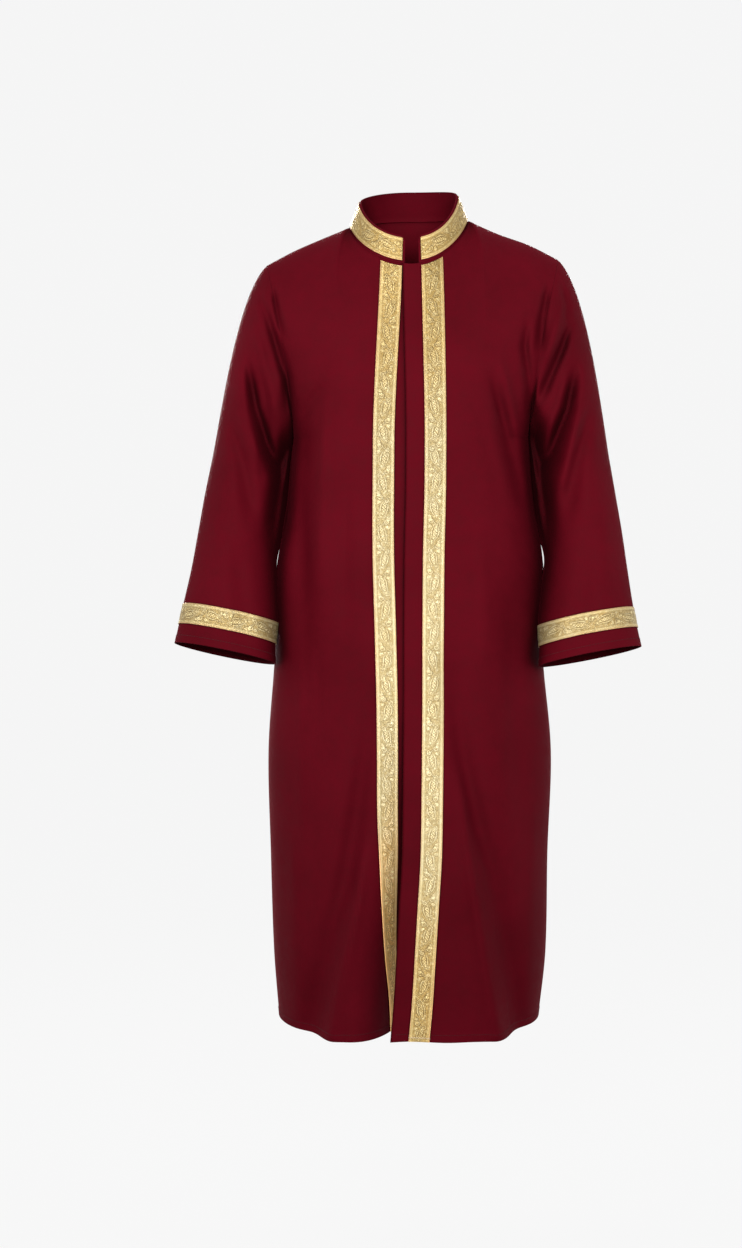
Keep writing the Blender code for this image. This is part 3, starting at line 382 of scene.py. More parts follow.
EXTENSION_COLUMNS = 4
STRIP_COLUMNS = 4
NECK_COLUMNS = 8
BACK_NECK_COLUMNS = 12
SHOULDER_COLUMNS = 20
TOP_ROWS = 40
SKIRT_ROWS = 100
CAP_ROWS = 24
ARM_ROWS = 30
CUFF_BRAID_ROWS = 4
CUFF_FOOT_ROWS = 4
COLLAR_COLUMNS = 60
COLLAR_STATIONS = 130
COLLAR_ROWS = 14
STRIP = (EXTENSION_COLUMNS, EXTENSION_COLUMNS + STRIP_COLUMNS)  # columns at a strip's edges
CUFF_BAND = (CAP_ROWS + ARM_ROWS, CAP_ROWS + ARM_ROWS + CUFF_BRAID_ROWS)  # and rows at a cuff's
SIDES = ("left", "right")

# Where further points lie, in rows or columns from a hem, a seam or a braid's edge.
CLOTH_STEP = 0.5
PLACE_CLEAR = 0.3  # an even place this near to a further one, as a share of a step, is left out
SEAM_STEPS = (0.15, 0.34, 0.58, 0.9)
HEM_STEPS = (0.09, 0.25, 0.55, 0.9, 1.2, 1.36, 1.48, 1.60, 1.75, 2.0)
ARMHOLE_STEPS = (0.12, 0.3, 0.55, 0.8)
CUFF_STEPS = (0.14, 0.4, 0.9, 1.35, 1.6, 1.78, 1.94, 2.15)
STRIP_STEPS = (-0.30, -0.14, 0.0, 0.14, 0.30)
CUFF_BAND_STEPS = (-0.4, -0.18, 0.0, 0.18, 0.4)
COLLAR_FOOT_STEPS = (0.4, 0.8)
COLLAR_TOP_STEPS = (0.15, 0.4, 0.7)
COLLAR_END_STEPS = (0.3, 0.7, 1.2, 1.8)

# ---- Colours, in linear RGB, and scales of the textures ----

BURGUNDY_DEEP = (0.070, 0.0009, 0.0044, 1.0)
BURGUNDY_BRIGHT = (0.096, 0.0014, 0.0064, 1.0)
THREAD = (0.075, 0.0011, 0.0048, 1.0)
GOLD_RICH = (0.450, 0.318, 0.108, 1.0)
GOLD_PALE = (0.560, 0.457, 0.232, 1.0)
MOTIF_LIGHT = (0.72, 0.62, 0.365, 1.0)
MOTIF_DARK = (0.24, 0.165, 0.060, 1.0)
LINE = (0.095, 0.060, 0.020, 1.0)
RIM = (0.56, 0.36, 0.185, 1.0)
SPECKLE = (0.64, 0.57, 0.38, 1.0)
WARMTH = (1.06, 0.98, 0.78, 1.0)
TURNED_PAINTED_LIGHT = (2.15, 1.78, 1.50, 1.0)  # painted light: where a front's edge turns in, its braid's colour is made brighter
PAPER = (0.03, 0.03, 0.03, 1.0)
STITCH_GOLD = (0.78, 0.62, 0.42, 1.0)
SHEEN = (1.0, 0.04, 0.10, 1.0)
WHITE = (1.0, 1.0, 1.0, 1.0)
BROAD_SCALE = 7.0  # of the cloth
MOTTLE_SCALE = 60.0
WARP_SCALE = 520.0
WEFT_SCALE = 480.0
SLUB_SCALE = (2600.0, 260.0, 1.0)
GRAIN_SCALE = 900.0  # of the braid
PATCH_SCALE = 42.0
GLINT_SCALE = 230.0
DOT_SCALE = 620.0
FLOAT_SCALE = 330.0
FINE_SCALE = 400.0  # of the threads and the studio paper
CREASE_SHADE_REACH = 0.08  # how near other cloth has to be for painted shade to darken a crease

# Where the braid's tone, its painted shade and its painted light change, each time from one distance or
# height to another.
PALEST_Z = -0.66
RICHER = (0.32, 0.48)  # above and below that height
TO_CUFFS = (0.15, 0.25)  # from the cloak's middle
TO_BORDERS = (0.0098, 0.0110)  # from the braid's middle
TO_CHEST = (-0.62, -0.36)
TO_NECK = (-0.14, -0.06)

# ---- Camera and light ----

FOCAL_PIXELS = 2436.0
PHOTO_HEIGHT = 1248.0
SENSOR = 36.0
CAMERA = (-0.061, -3.8, -0.36)
CAMERA_DOWN = 3.82  # degrees below level
FLOOR_Z = -1.47
STUDIO_REACH = 8.0
STUDIO_CURVE = 2.0  # radius of the curve between floor and backdrop
STUDIO_TOP = 11.0
STUDIO_SIDES = 96
AIR = 0.30
AIR_COLOUR = (0.97, 0.98, 1.0, 1.0)
PAPER_GLOW = 0.905
LIGHTS = (  # name, place, the point it faces, width and height, watts, spread in degrees
    ("key_light", (-0.9, -3.6, 0.50), (0.0, 0.0, -0.30), (1.1, 1.1), 14.4, 60.0),
    ("fill_light", (0.8, -3.6, 0.40), (0.0, 0.0, -0.30), (1.1, 1.1), 8.3, 60.0),
    ("back_light_right", (-1.3, 3.5, 0.55), (0.0, 0.0, -0.45), (1.1, 1.1), 15.4, 60.0),
    ("back_light_left", (1.0, 3.6, 0.45), (0.0, 0.0, -0.45), (1.1, 1.1), 11.0, 60.0),
    ("side_light_right", (-3.7, 0.9, 0.4), (0.0, 0.0, -0.45), (1.1, 1.1), 4.0, 60.0),
    ("side_light_left", (3.7, 0.9, 0.4), (0.0, 0.0, -0.45), (1.1, 1.1), 4.0, 60.0),
    ("top_light", (0.0, 1.2, 2.6), (0.0, 0.2, -0.4), (2.6, 1.6), 14.0, 180.0),
)


# ---- Curves ----


def read(table, column, z):
    """A table's value at height z, on a smooth curve through its rows."""
    return curve([(row.z, getattr(row, column)) for row in table], z)


def curve(values, z):
    """The value at z on a smooth curve through these (z, value) pairs, highest z first."""
    if z >= values[0][0]:
        return values[0][1]
    if z <= values[-1][0]:
        return values[-1][1]
    upper = max(k for k in range(len(values) - 1) if values[k][0] >= z)
    (z0, a), (z1, b) = values[upper], values[upper + 1]
    before = values[max(upper - 1, 0)]
    after = values[min(upper + 2, len(values) - 1)]
    slope0 = (b - before[1]) / (z1 - before[0])
    slope1 = (after[1] - a) / (after[0] - z0)
    return hermite(a, slope0 * (z1 - z0), b, slope1 * (z1 - z0), (z - z0) / (z1 - z0))


def hermite(start, leave, end, arrive, t):
    """A cubic from start to end with these tangents, for numbers or vectors."""
    return (
        start * (2 * t**3 - 3 * t**2 + 1)
        + leave * (t**3 - 2 * t**2 + t)
        + end * (3 * t**2 - 2 * t**3)
        + arrive * (t**3 - t**2)
    )


def ease(t):
    """0 below 0 and 1 above 1, with a smooth rise between."""
    t = min(max(t, 0.0), 1.0)
    return t * t * (3 - 2 * t)


def mix(a, b, t):
    return a * (1 - t) + b * t


def sign_of(side):
    return 1 if side == "left" else -1


def at(side, x, y, z):
    """The point at this distance x from the middle, on that side."""
    return Vector((sign_of(side) * x, y, z))


# ---- Body surface ----


def rounded(reach, along, half, power):
    """A superellipse's reach at this place along its other axis."""
    return reach * (1 - min(abs(along) / half, 1.0) ** power) ** (1 / power)


def section_y(side, face, x, z):
    """The body's plain section: how far the cloth stands from the side seams' plane."""
    return rounded(read(BODY, face, z), x, read(BODY, side, z), read(BODY, "power", z))


def section_x(side, turn, z):
    """How far from the middle the section is at this angle, from 0 at the centre front or back."""
    return read(BODY, side, z) * math.sin(turn) ** (2 / read(BODY, "power", z))


def lap_depth(side, x, z):
    """How far behind the plain section the centre front lies. x grows towards the side's seam."""
    strip = read(FRONT, side, z)
    depth = read(FRONT, "hollow", z) * math.exp(-((x / HOLLOW_HALF_WIDTH) ** 2))
    if side == "left":
        return depth
    depth += LAP_DEPTH * ease((strip + LAP_START - x) / LAP_RAMP)
    turn = read(FRONT, "turn_in", z)
    curved = max(TURN_IN_START - max(x, strip), 0.0) / TURN_IN_RUN
    depth += turn * curved**2
    if x < strip:
        depth += min(2 * turn * curved / TURN_IN_RUN, TURN_IN_STEEPEST) * (strip - x)
    return depth


def body_point(side, face, x, z):
    """A point of a front or of the back below the armpit. It hangs higher near the side seams,
    towards the hem."""
    near_seam = (x / read(BODY, side, z)) ** HEM_LIFT_POWER
    lift = HEM_LIFT * near_seam * ease((HEM_LIFT_START - z) / (HEM_LIFT_START - HEM_Z))
    y = section_y(side, face, x, z)
    return at(side, x, lap_depth(side, x, z) - y if face == "front" else y, z + lift)


def step_inward(side, x, length, z):
    """The x reached by following the front from x for this length towards the other front."""
    for _ in range(FOLLOW_STEPS):
        ahead = body_point(side, "front", x - FOLLOW_NEAR, z) - body_point(side, "front", x, z)
        x -= length / FOLLOW_STEPS * FOLLOW_NEAR / ahead.length
    return x


def spread(start, end, count):
    """count values after start, evenly spaced, the last one being end."""
    return [mix(start, end, (k + 1) / count) for k in range(count)]


def strip_columns(edge, inner, outer):
    """Places across a front from its free edge to its braid strip's inner and outer edges."""
    return [edge] + spread(edge, inner, EXTENSION_COLUMNS) + spread(inner, outer, STRIP_COLUMNS)


def side_turns(start, neck_columns, neck_share):
    """Angles round a section from start to the side seam, for the neck's and shoulder's columns."""
    neck = mix(start, math.pi / 2, neck_share)
    return spread(start, neck, neck_columns) + spread(neck, math.pi / 2, SHOULDER_COLUMNS)


def section_row(side, face, z):
    """Points at one height, from a front's free edge or the centre back to the side seam."""
    if face == "back":
        turns = [0.0] + side_turns(0.0, BACK_NECK_COLUMNS, BACK_NECK_SHARE)
        across = []
    else:
        outer = read(FRONT, side, z)
        inner = step_inward(side, outer, BRAID_WIDTH, z)
        across = strip_columns(step_inward(side, inner, EXTENSION[side], z), inner, outer)
        start = math.asin((outer / read(BODY, side, z)) ** (read(BODY, "power", z) / 2))
        turns = side_turns(start, NECK_COLUMNS, NECK_SHARE)
    across += [section_x(side, turn, z) for turn in turns]
    return [body_point(side, face, x, z) for x in across]


def neck_point(side, turn):
    """A point of the neckline, where turn runs from 0 at the front to pi at the back. Below 0 it
    is past the centre front, where a front's extension ends."""
    if turn < 0:
        return neck_point(side, -turn) * Vector((-1, 1, 1))
    neck = SHOULDERS[side][0]
    x = neck.x * math.sin(turn)
    z = neck.z * math.sin(turn) ** 2
    ahead = math.cos(turn)
    if turn <= math.pi / 2:
        return at(side, x, -NECK_FRONT * ahead, z - NECK_DROP * max(ahead, 0.0) ** NECK_CURVE)
    return at(side, x, -NECK_BACK * ahead, z - NECK_BACK_RISE * ahead)


def lapped_neck_point(side, turn):
    """A point of the fronts' neckline, as far back as the front lies there."""
    point = neck_point(side, turn)
    point.y += lap_depth(side, point.x * sign_of(side), point.z)
    return point


def armhole_point(side, face, v):
    """A point of the armhole's front or back half, from the shoulder, v = 0, to the armpit, 1."""
    top = SHOULDERS[side][-1]
    turn = math.pi * v
    share = (1 + math.cos(turn)) / 2
    x = mix(ARMPIT_X[side], top.x, share**ARMHOLE_SLANT)
    y = -ARMHOLE_FRONT * math.sin(turn) if face == "front" else ARMHOLE_BACK * math.sin(turn)
    return at(side, x, y, mix(ARMPIT_Z, top.z, share))


def neck_turns(side, face):
    """Angles of the neckline at which a front's or the back's columns start."""
    if face == "back":
        return [math.pi] + spread(math.pi, math.pi / 2, BACK_NECK_COLUMNS)
    outer = getattr(FRONT[0], side)
    inner = outer - BRAID_WIDTH
    across = strip_columns(inner - EXTENSION[side], inner, outer)
    turns = [math.asin(x / SHOULDERS[side][0].x) for x in across]
    return turns + spread(turns[-1], math.pi / 2, NECK_COLUMNS)


def top_edge(side, face):
    """The upper edge of a front or of half the back, as (point, leaving direction) pairs."""
    forward = -1 if face == "front" else 1
    centre = LEAVE_CENTRE_FRONT if face == "front" else LEAVE_CENTRE_BACK
    pairs = []
    for turn in neck_turns(side, face):
        off_centre = 1 - abs(math.cos(turn))
        out = mix(centre[0], LEAVE_SHOULDER[0], off_centre)
        down = mix(centre[1], LEAVE_SHOULDER[1], off_centre)
        aside = LEAVE_ASIDE * math.sin(turn) ** LEAVE_ASIDE_POWER
        leave = at(side, aside, forward * out, -down).normalized()
        point = lapped_neck_point(side, turn) if face == "front" else neck_point(side, turn)
        pairs.append((point, leave * mix(REACH_NECK, REACH_SHOULDER, off_centre)))
    seam = SHOULDERS[side]
    heights = [(-row.x, row.z) for row in seam]
    for k, x in enumerate(spread(seam[0].x, seam[-1].x, SHOULDER_COLUMNS)):
        aside = LEAVE_ASIDE * ease(1 - (k + 1) / SHOULDER_COLUMNS)
        leave = at(side, aside, forward * LEAVE_SHOULDER[0], -LEAVE_SHOULDER[1]).normalized()
        pairs.append((at(side, x, 0.0, curve(heights, -x)), leave * REACH_SHOULDER))
    return pairs


def body_grid(side, face):
    """Rows of points of a front, or of a side's half of the back, from top edge to hem."""
    top = top_edge(side, face)
    ring = section_row(side, face, ARMPIT_Z)
    below = section_row(side, face, ARMPIT_Z - JUST_BELOW)
    last = len(top) - 1
    rows = []
    for v in top_shares():
        row = []
        for (point, leave), end, under in zip(top, ring, below):
            arrive = (under - end).normalized() * REACH_ARMPIT
            row.append(hermite(point, leave, end, arrive, v))
        to_armhole = armhole_point(side, face, v) - row[last]
        for k in range(SHOULDER_COLUMNS + 1):
            share = k / SHOULDER_COLUMNS
            row[last - SHOULDER_COLUMNS + k] += to_armhole * share**ARMHOLE_PULL
        rows.append(row)
    return rows + [section_row(side, face, z) for z in spread(ARMPIT_Z, HEM_Z, SKIRT_ROWS)]


def top_shares():
    """Shares of the run from the top edge to the armpit at which rows lie."""
    return [0.0] + spread(0.0, 1.0, TOP_ROWS)


# ---- Sleeve surface ----


def sleeve_ring(side, z, turns):
    """A sleeve's section whose middle is at height z, at these angles round it."""
    sizes = [read(SLEEVES[side], column, z) for column in Sleeve._fields[1:]]
    inner, outer, middle_y, half_depth, rise, drop, rest = sizes
    rise, drop = math.radians(rise), math.radians(drop)
    middle = at(side, (inner + outer) / 2, middle_y, z)
    outward = at(side, math.cos(rise), 0.0, math.sin(rise)) * ((outer - inner) / 2 / math.cos(rise))
    back = Vector((0.0, math.cos(drop), -math.sin(drop))) * half_depth
    ring = []
    for turn in turns:
        point = middle + outward * math.cos(turn) - back * math.sin(turn)
        against = sign_of(side) * (body_reach(side, point.y, point.z) + REST_CLEAR)
        point.x = mix(point.x, against, rest * rest_share(turn))
        ring.append(point)
    return ring


def rest_share(turn):
    """1 where the sleeve's inner back lies against the body, 0 over the rest of its ring."""
    return ease(REST_STEEPNESS * (1 - abs(math.degrees(turn) - REST_MIDDLE) / REST_WIDTH))


def body_reach(side, y, z):
    """How far out the body's side stands at this distance forward (-) or back."""
    depth = read(BODY, "front" if y < 0 else "back", z)
    return rounded(read(BODY, side, z), y, depth, read(BODY, "power", z))


def cuff_height(side, distance):
    """The height of the sleeve's middle at this distance up the sleeve from its cuff's edge."""
    above, cuff = (
        Vector(((row.inner + row.outer) / 2, row.middle_y, row.z)) for row in SLEEVES[side][-2:]
    )
    return cuff.z + distance * (above - cuff).normalized().z


def sleeve_grid(side):
    """Rows of points of a sleeve from its armhole to its cuff."""
    front = [(armhole_point(side, "front", v), math.pi * v) for v in top_shares()]
    back = [(armhole_point(side, "back", v), math.pi * (2 - v)) for v in top_shares()]
    samples = front + back[-2:0:-1]
    turns = [turn for _, turn in samples]
    first = SLEEVES[side][0].z
    ring = sleeve_ring(side, first, turns)
    below = sleeve_ring(side, first - JUST_BELOW, turns)
    rows = []
    for t in [0.0] + spread(0.0, 1.0, CAP_ROWS):
        row = []
        for (start, turn), end, under in zip(samples, ring, below):
            low = (1 - math.cos(turn)) / 2
            out = mix(CAP_LEAVE_TOP[0], CAP_LEAVE_BOTTOM[0], low)
            down = mix(CAP_LEAVE_TOP[1], CAP_LEAVE_BOTTOM[1], low)
            leave = at(side, out, 0.0, -down) * mix(CAP_REACH_TOP, CAP_REACH_BOTTOM, low)
            arrive = (under - end).normalized() * mix(CAP_REACH_RING, CAP_REACH_BOTTOM, low)
            row.append(hermite(start, leave, end, arrive, t))
        rows.append(row)
    return rows + [sleeve_ring(side, z, turns) for z in arm_heights(side)]


def arm_heights(side):
    """Heights of the sleeve's rows below the armpit: to the braid, along it, and the cuff."""
    braid_top = cuff_height(side, CUFF_TO_BRAID + BRAID_WIDTH)
    braid_foot = cuff_height(side, CUFF_TO_BRAID)
    heights = spread(SLEEVES[side][0].z, braid_top, ARM_ROWS)
    heights += spread(braid_top, braid_foot, CUFF_BRAID_ROWS)
    return heights + spread(braid_foot, SLEEVES[side][-1].z, CUFF_FOOT_ROWS)


# ---- Collar surface ----


def collar_line():
    """The neckline under the collar, from its left end round the back to its right end."""
    halves = []
    for side in ("left", "right"):
        first = getattr(FRONT[0], side) - BRAID_WIDTH - COLLAR_PAST_STRIP
        start = math.asin(first / SHOULDERS[side][0].x)
        points = []
        for turn in [start] + spread(start, math.pi, COLLAR_COLUMNS):
            at_front = turn < math.pi / 2
            points.append(lapped_neck_point(side, turn) if at_front else neck_point(side, turn))
        halves.append(points)
    left, right = halves
    return left + right[-2::-1]


def collar_up(point):
    """The direction in which the collar stands at this point of the neckline."""
    aside = Vector((point.x, point.y, 0.0)).normalized()
    lean = COLLAR_LEAN_FRONT if aside.y < 0 else COLLAR_LEAN_BACK
    lean = mix(lean, COLLAR_LEAN_SIDE, aside.x**2)
    upright = math.sqrt(COLLAR_HEIGHT**2 - lean**2)
    return (Vector((0.0, 0.0, upright)) - aside * lean) / COLLAR_HEIGHT


def collar_limit(height, from_end):
    """How high the collar reaches this far from its end, under its round corner."""
    from_corner = max(COLLAR_CORNER - from_end, 0.0)
    drop = COLLAR_CORNER - math.sqrt(COLLAR_CORNER**2 - from_corner**2)
    return height * (1 - drop / COLLAR_HEIGHT)


# ---- Grids of points ----


def grid_of(rows):
    """Rows of vectors as one array."""
    return np.array([[tuple(point) for point in row] for row in rows])


def sample_axis(grid, places, wrap=False):
    """The grid at these places along its first axis, on smooth curves through its points."""
    places = np.asarray(places, float)
    base = np.floor(places).astype(int)
    if not wrap:
        base = np.clip(base, 0, len(grid) - 2)
        grid = np.concatenate([2 * grid[:1] - grid[1:2], grid, 2 * grid[-1:] - grid[-2:-1]])
    t = places - base
    near = base[:, None] + np.arange(-1, 3)
    near = near % len(grid) if wrap else near + 1
    weights = [
        -0.5 * t + t**2 - 0.5 * t**3,
        1 - 2.5 * t**2 + 1.5 * t**3,
        0.5 * t + 2 * t**2 - 1.5 * t**3,
        -0.5 * t**2 + 0.5 * t**3,
    ]
    return np.einsum("kn,nk...->n...", weights, grid[near])


def sample(grid, rows, columns, wrap=False):
    """The grid at these rows and columns, or fractions of them."""
    return sample_axis(sample_axis(grid, rows).swapaxes(0, 1), columns, wrap).swapaxes(0, 1)


def places(last, step, extra):
    """Places from 0 to last about this far apart, with extra ones between them."""
    even = np.linspace(0, last, max(int(math.ceil(last / step)), 1) + 1)
    extra = np.array([value for value in extra if 0 < value < last])
    clear = np.abs(even[:, None] - extra).min(axis=1) > PLACE_CLEAR * step
    clear[[0, -1]] = True
    return np.unique(np.round(np.concatenate([even[clear], extra]), 6))


def normals_of(grid, turn, wrap=False):
    """The direction out of the cloth at every point, from the points round it."""
    if wrap:
        across = np.roll(grid, -1, axis=1) - np.roll(grid, 1, axis=1)
    else:
        across = np.gradient(grid, axis=1)
    return unit(np.cross(np.gradient(grid, axis=0), across) * turn)


def unit(vectors):
    """The directions of these vectors."""
    return vectors / np.maximum(np.linalg.norm(vectors, axis=-1, keepdims=True), 1e-12)


def lengths_along(points, axis=0):
    """How far each point of a line, or of a grid's lines along an axis, is from the first."""
    steps = np.linalg.norm(np.diff(points, axis=axis), axis=-1)
    start = np.zeros_like(np.take(steps, [0], axis=axis))
    return np.concatenate([start, np.cumsum(steps, axis=axis)], axis=axis)


def interpolate(line, at):
    """The line's values at these places along it."""
    low = np.minimum(at.astype(int), len(line) - 2)
    share = (at - low)[:, None]
    return line[low] * (1 - share) + line[low + 1] * share


def smooth(t):
    """As ease, for arrays."""
    t = np.clip(t, 0.0, 1.0)
    return t * t * (3 - 2 * t)


def bell(distance, width):
    return np.exp(-((distance / width) ** 2))


# ---- Creases ----


def line_distance(x, z, line):
    """How far each point is from a bent line, and its share of the way along that line."""
    corners = np.array(line)
    walked = lengths_along(corners)
    best = np.full(x.shape, np.inf)
    share = np.zeros(x.shape)
    for start, end, before, after in zip(corners, corners[1:], walked, walked[1:]):
        ahead = (end - start) / (after - before)
        aside = x - start[0]
        above = z - start[1]
        t = np.clip(aside * ahead[0] + above * ahead[1], 0.0, after - before)
        gap = np.hypot(aside - ahead[0] * t, above - ahead[1] * t)
        share = np.where(gap < best, (before + t) / walked[-1], share)
        best = np.minimum(gap, best)
    return best, share


def crease_amount(crease, x, z):
    """What one crease adds to the cloth. It widens a little towards its lower end."""
    gap, share = line_distance(x, z, crease.line)
    swell = smooth(share / CREASE_RUN_OUT)
    if crease.ends:
        swell = swell * smooth((1 - share) / CREASE_RUN_OUT)
    return crease.height * swell * bell(gap, crease.width * mix(*CREASE_WIDENING, share))


def ripple(x, y, z, seed):
    """A slight unevenness of the whole cloth, longer down than across."""
    total = np.zeros_like(x)
    for k in range(RIPPLE_WAVES):
        angle = 2.4 * k + seed
        across = (26 + 9 * math.sin(1.7 * angle)) * math.cos(angle)
        down = 9 + 6 * math.sin(2.3 * angle)
        total += np.sin(across * x + down * z + 18 * math.sin(angle) * y + 5.1 * k + seed)
    return total / RIPPLE_WAVES


def creased(grid, front_share, back_share):
    """The grid, moved forward (-Y) and back (+Y) by the listed creases."""
    x, y, z = np.moveaxis(grid, 2, 0)
    moved = grid.copy()
    for share, creases, seed in ((-front_share, FRONT_CREASES, 0.4), (back_share, BACK_CREASES, 2.9)):
        height = sum(crease_amount(crease, x, z) for crease in creases)
        moved[..., 1] += share * (height + RIPPLE * ripple(x, y, z, seed))
    return moved


def fold_amounts(panel, across, z, fade):
    """What a panel's largest folds add. across is the place across them, as FOLDS gives it."""
    total = np.zeros_like(z)
    for fold in FOLDS:
        if fold.panel != panel:
            continue
        strength = smooth((fold.upper_z - z) / fade)
        if fold.lower_z > HEM_Z:
            strength = strength * smooth((z - fold.lower_z) / fade)
        share = np.clip((z - fold.upper_z) / (fold.lower_z - fold.upper_z), 0.0, 1.0)
        middle = mix(fold.upper, fold.lower, share)
        total += fold.height * strength * bell(across - middle, fold.width)
    return total


# ---- Cloth panels ----


class Cloth:
    """A panel's surface: its plain grid of points, on which its folds and creases are laid. Places
    on it are rows and columns of that grid, and fractions of them."""

    def __init__(self, name, base, turn, wrap=False):
        self.name = name
        self.base = base
        self.turn = turn
        self.wrap = wrap
        self.last_row = len(base) - 1
        self.last_column = base.shape[1] - 1

    def shape(self, rows, columns):
        """The points at these rows and columns, folds and creases included."""
        grid = sample(self.base, rows, columns, self.wrap)
        if self.name == "collar":
            return grid
        normals = normals_of(grid, self.turn, self.wrap)
        grid = grid + normals * self.fold_amount(grid, rows, columns)[..., None]
        return creased(grid, *self.facing(grid, rows, columns))

    def fold_amount(self, grid, rows, columns):
        """What the largest folds add, which run out at the armholes and the side seams."""
        x, _, z = np.moveaxis(grid, 2, 0)
        if self.wrap:
            amount = fold_amounts(self.name, self.turns(columns), z, SLEEVE_FOLD_FADE)
            return amount * smooth(rows / FOLD_CLEAR_ROWS)[:, None]
        if self.name == "back":
            amount = 0.0
            for side in SIDES:
                half = fold_amounts("back_" + side, np.abs(x), z, FOLD_FADE)
                amount = amount + half * (x * sign_of(side) >= 0)
        else:
            amount = fold_amounts(self.name, np.abs(x), z, FOLD_FADE)
        return amount * smooth(self.from_seam(columns) / FOLD_CLEAR_COLUMNS)

    def turns(self, columns):
        """Degrees round a sleeve: 0 is the outside, 90 the front and 270 the back."""
        return columns / (self.last_column + 1) * 360

    def facing(self, grid, rows, columns):
        """How far each point takes part in the front's creases and in the back's."""
        if self.wrap:
            facing = np.sin(np.radians(self.turns(columns))) / FACING_FADE
            return smooth(facing), smooth(-facing)
        y = grid[..., 1] / FACING_FADE
        below = smooth((rows - TOP_ROWS) / HELD_ROWS)[:, None]
        held = 1 - below * (1 - smooth(self.from_seam(columns) / HELD_COLUMNS))
        if self.name == "back":
            return 0.0, smooth(y / ARMHOLE_BACK) * held
        return smooth(-y / ARMHOLE_FRONT) * held, 0.0

    def from_seam(self, columns):
        """How many columns each place is from the nearest side seam."""
        from_last = self.last_column - columns
        return np.minimum(from_last, columns) if self.name == "back" else from_last


def eased(grid, first):
    """The grid with its depths evened out across, from this column on, which spreads the bend
    below the neck point."""
    rows = np.arange(len(grid))
    share = smooth(rows / EASING_TOP_ROWS) * smooth((TOP_ROWS - rows) / EASING_LAST_ROWS)
    depth = grid[..., 1].copy()
    for _ in range(EASING):
        even = depth[:, :-2] / 4 + depth[:, 1:-1] / 2 + depth[:, 2:] / 4
        change = (even - depth[:, 1:-1]) * share[:, None]
        change[:, : max(first - 1, 0)] = 0.0
        depth[:, 1:-1] += change
    return np.concatenate([grid[..., :1], depth[..., None], grid[..., 2:]], axis=2)


def make_cloths():
    cloths = []
    for side in SIDES:
        grid = eased(grid_of(body_grid(side, "front")), STRIP[1] + 1)
        cloths.append(Cloth("front_" + side, grid, sign_of(side)))
    left, right = (grid_of(body_grid(side, "back")) for side in SIDES)
    cloths.append(Cloth("back", eased(np.concatenate([right[:, ::-1], left[:, 1:]], axis=1), 0), -1))
    for side in SIDES:
        cloths.append(Cloth("sleeve_" + side, grid_of(sleeve_grid(side)), -sign_of(side), wrap=True))
    cloths.append(Cloth("collar", collar_grid(), -1))
    return {cloth.name: cloth for cloth in cloths}


def collar_grid():
    """Rows up the collar and stations round it, evenly spaced."""
    line = grid_of([collar_line()])[0]
    walked = lengths_along(line)
    stations = np.linspace(0.0, walked[-1], COLLAR_STATIONS)
    foot = sample_axis(line, np.interp(stations, walked, np.arange(len(line))))
    base = [Vector(point) for point in foot]
    from_end = np.minimum(stations, walked[-1] - stations)
    rows = []
    for height in [0.0] + spread(0.0, COLLAR_HEIGHT, COLLAR_ROWS):
        rows.append([p + collar_up(p) * collar_limit(height, gap) for p, gap in zip(base, from_end)])
    return grid_of(rows)


def cloth_places(cloth):
    """Where a panel has points: evenly spread, and closer along seams, hems and braids."""
    last_row, last_column = cloth.last_row, cloth.last_column
    if cloth.name == "collar":
        rows = [*COLLAR_FOOT_STEPS, *short_of(last_row, COLLAR_TOP_STEPS)]
        columns = [*COLLAR_END_STEPS, *short_of(last_column, COLLAR_END_STEPS)]
        return places(last_row, 1.0, rows), places(last_column, 1.0, columns)
    if cloth.wrap:
        rows = [*ARMHOLE_STEPS, *short_of(last_row, CUFF_STEPS), *beside(CUFF_BAND, CUFF_BAND_STEPS)]
        return places(last_row, CLOTH_STEP, rows), np.arange(0, last_column + 1, CLOTH_STEP)
    first = SEAM_STEPS if cloth.name == "back" else beside(STRIP, STRIP_STEPS)
    rows = [*SEAM_STEPS, *short_of(last_row, HEM_STEPS)]
    columns = [*first, *short_of(last_column, SEAM_STEPS)]
    return places(last_row, CLOTH_STEP, rows), places(last_column, CLOTH_STEP, columns)


def beside(edges, steps):
    return [edge + step for edge in edges for step in steps]


def short_of(last, steps):
    return [last - step for step in steps]


# ---- Fine relief of the cloth: seams, hems and the print of the braid ----


def roll_in(distance):
    """How a seam's edge turns in, with the seam allowance standing a little proud beside it."""
    beside = bell(distance - ALLOWANCE_MIDDLE, ALLOWANCE_WIDTH)
    return SEAM_ROLL * (beside - bell(distance, SEWN_PULL_WIDTH))


def turn_up(distance):
    """A turned-up hem: doubled cloth as far as its line of stitches, which sinks in."""
    doubled = HEM_STEP * smooth((HEM_DEPTH - distance) / HEM_STEP_RUN + 0.5)
    return doubled - STITCH_PULL * bell(distance - HEM_STITCHES, STITCH_PULL_WIDTH)


def braid_print(places, edges):
    """The cloth dips a little along both edges of a braid that is sewn on it."""
    spacing = BRAID_WIDTH / (edges[1] - edges[0])
    gap = np.abs(places[:, None] - np.array(edges)).min(axis=1) * spacing
    return -SEWN_PULL * bell(gap, SEWN_PULL_WIDTH)


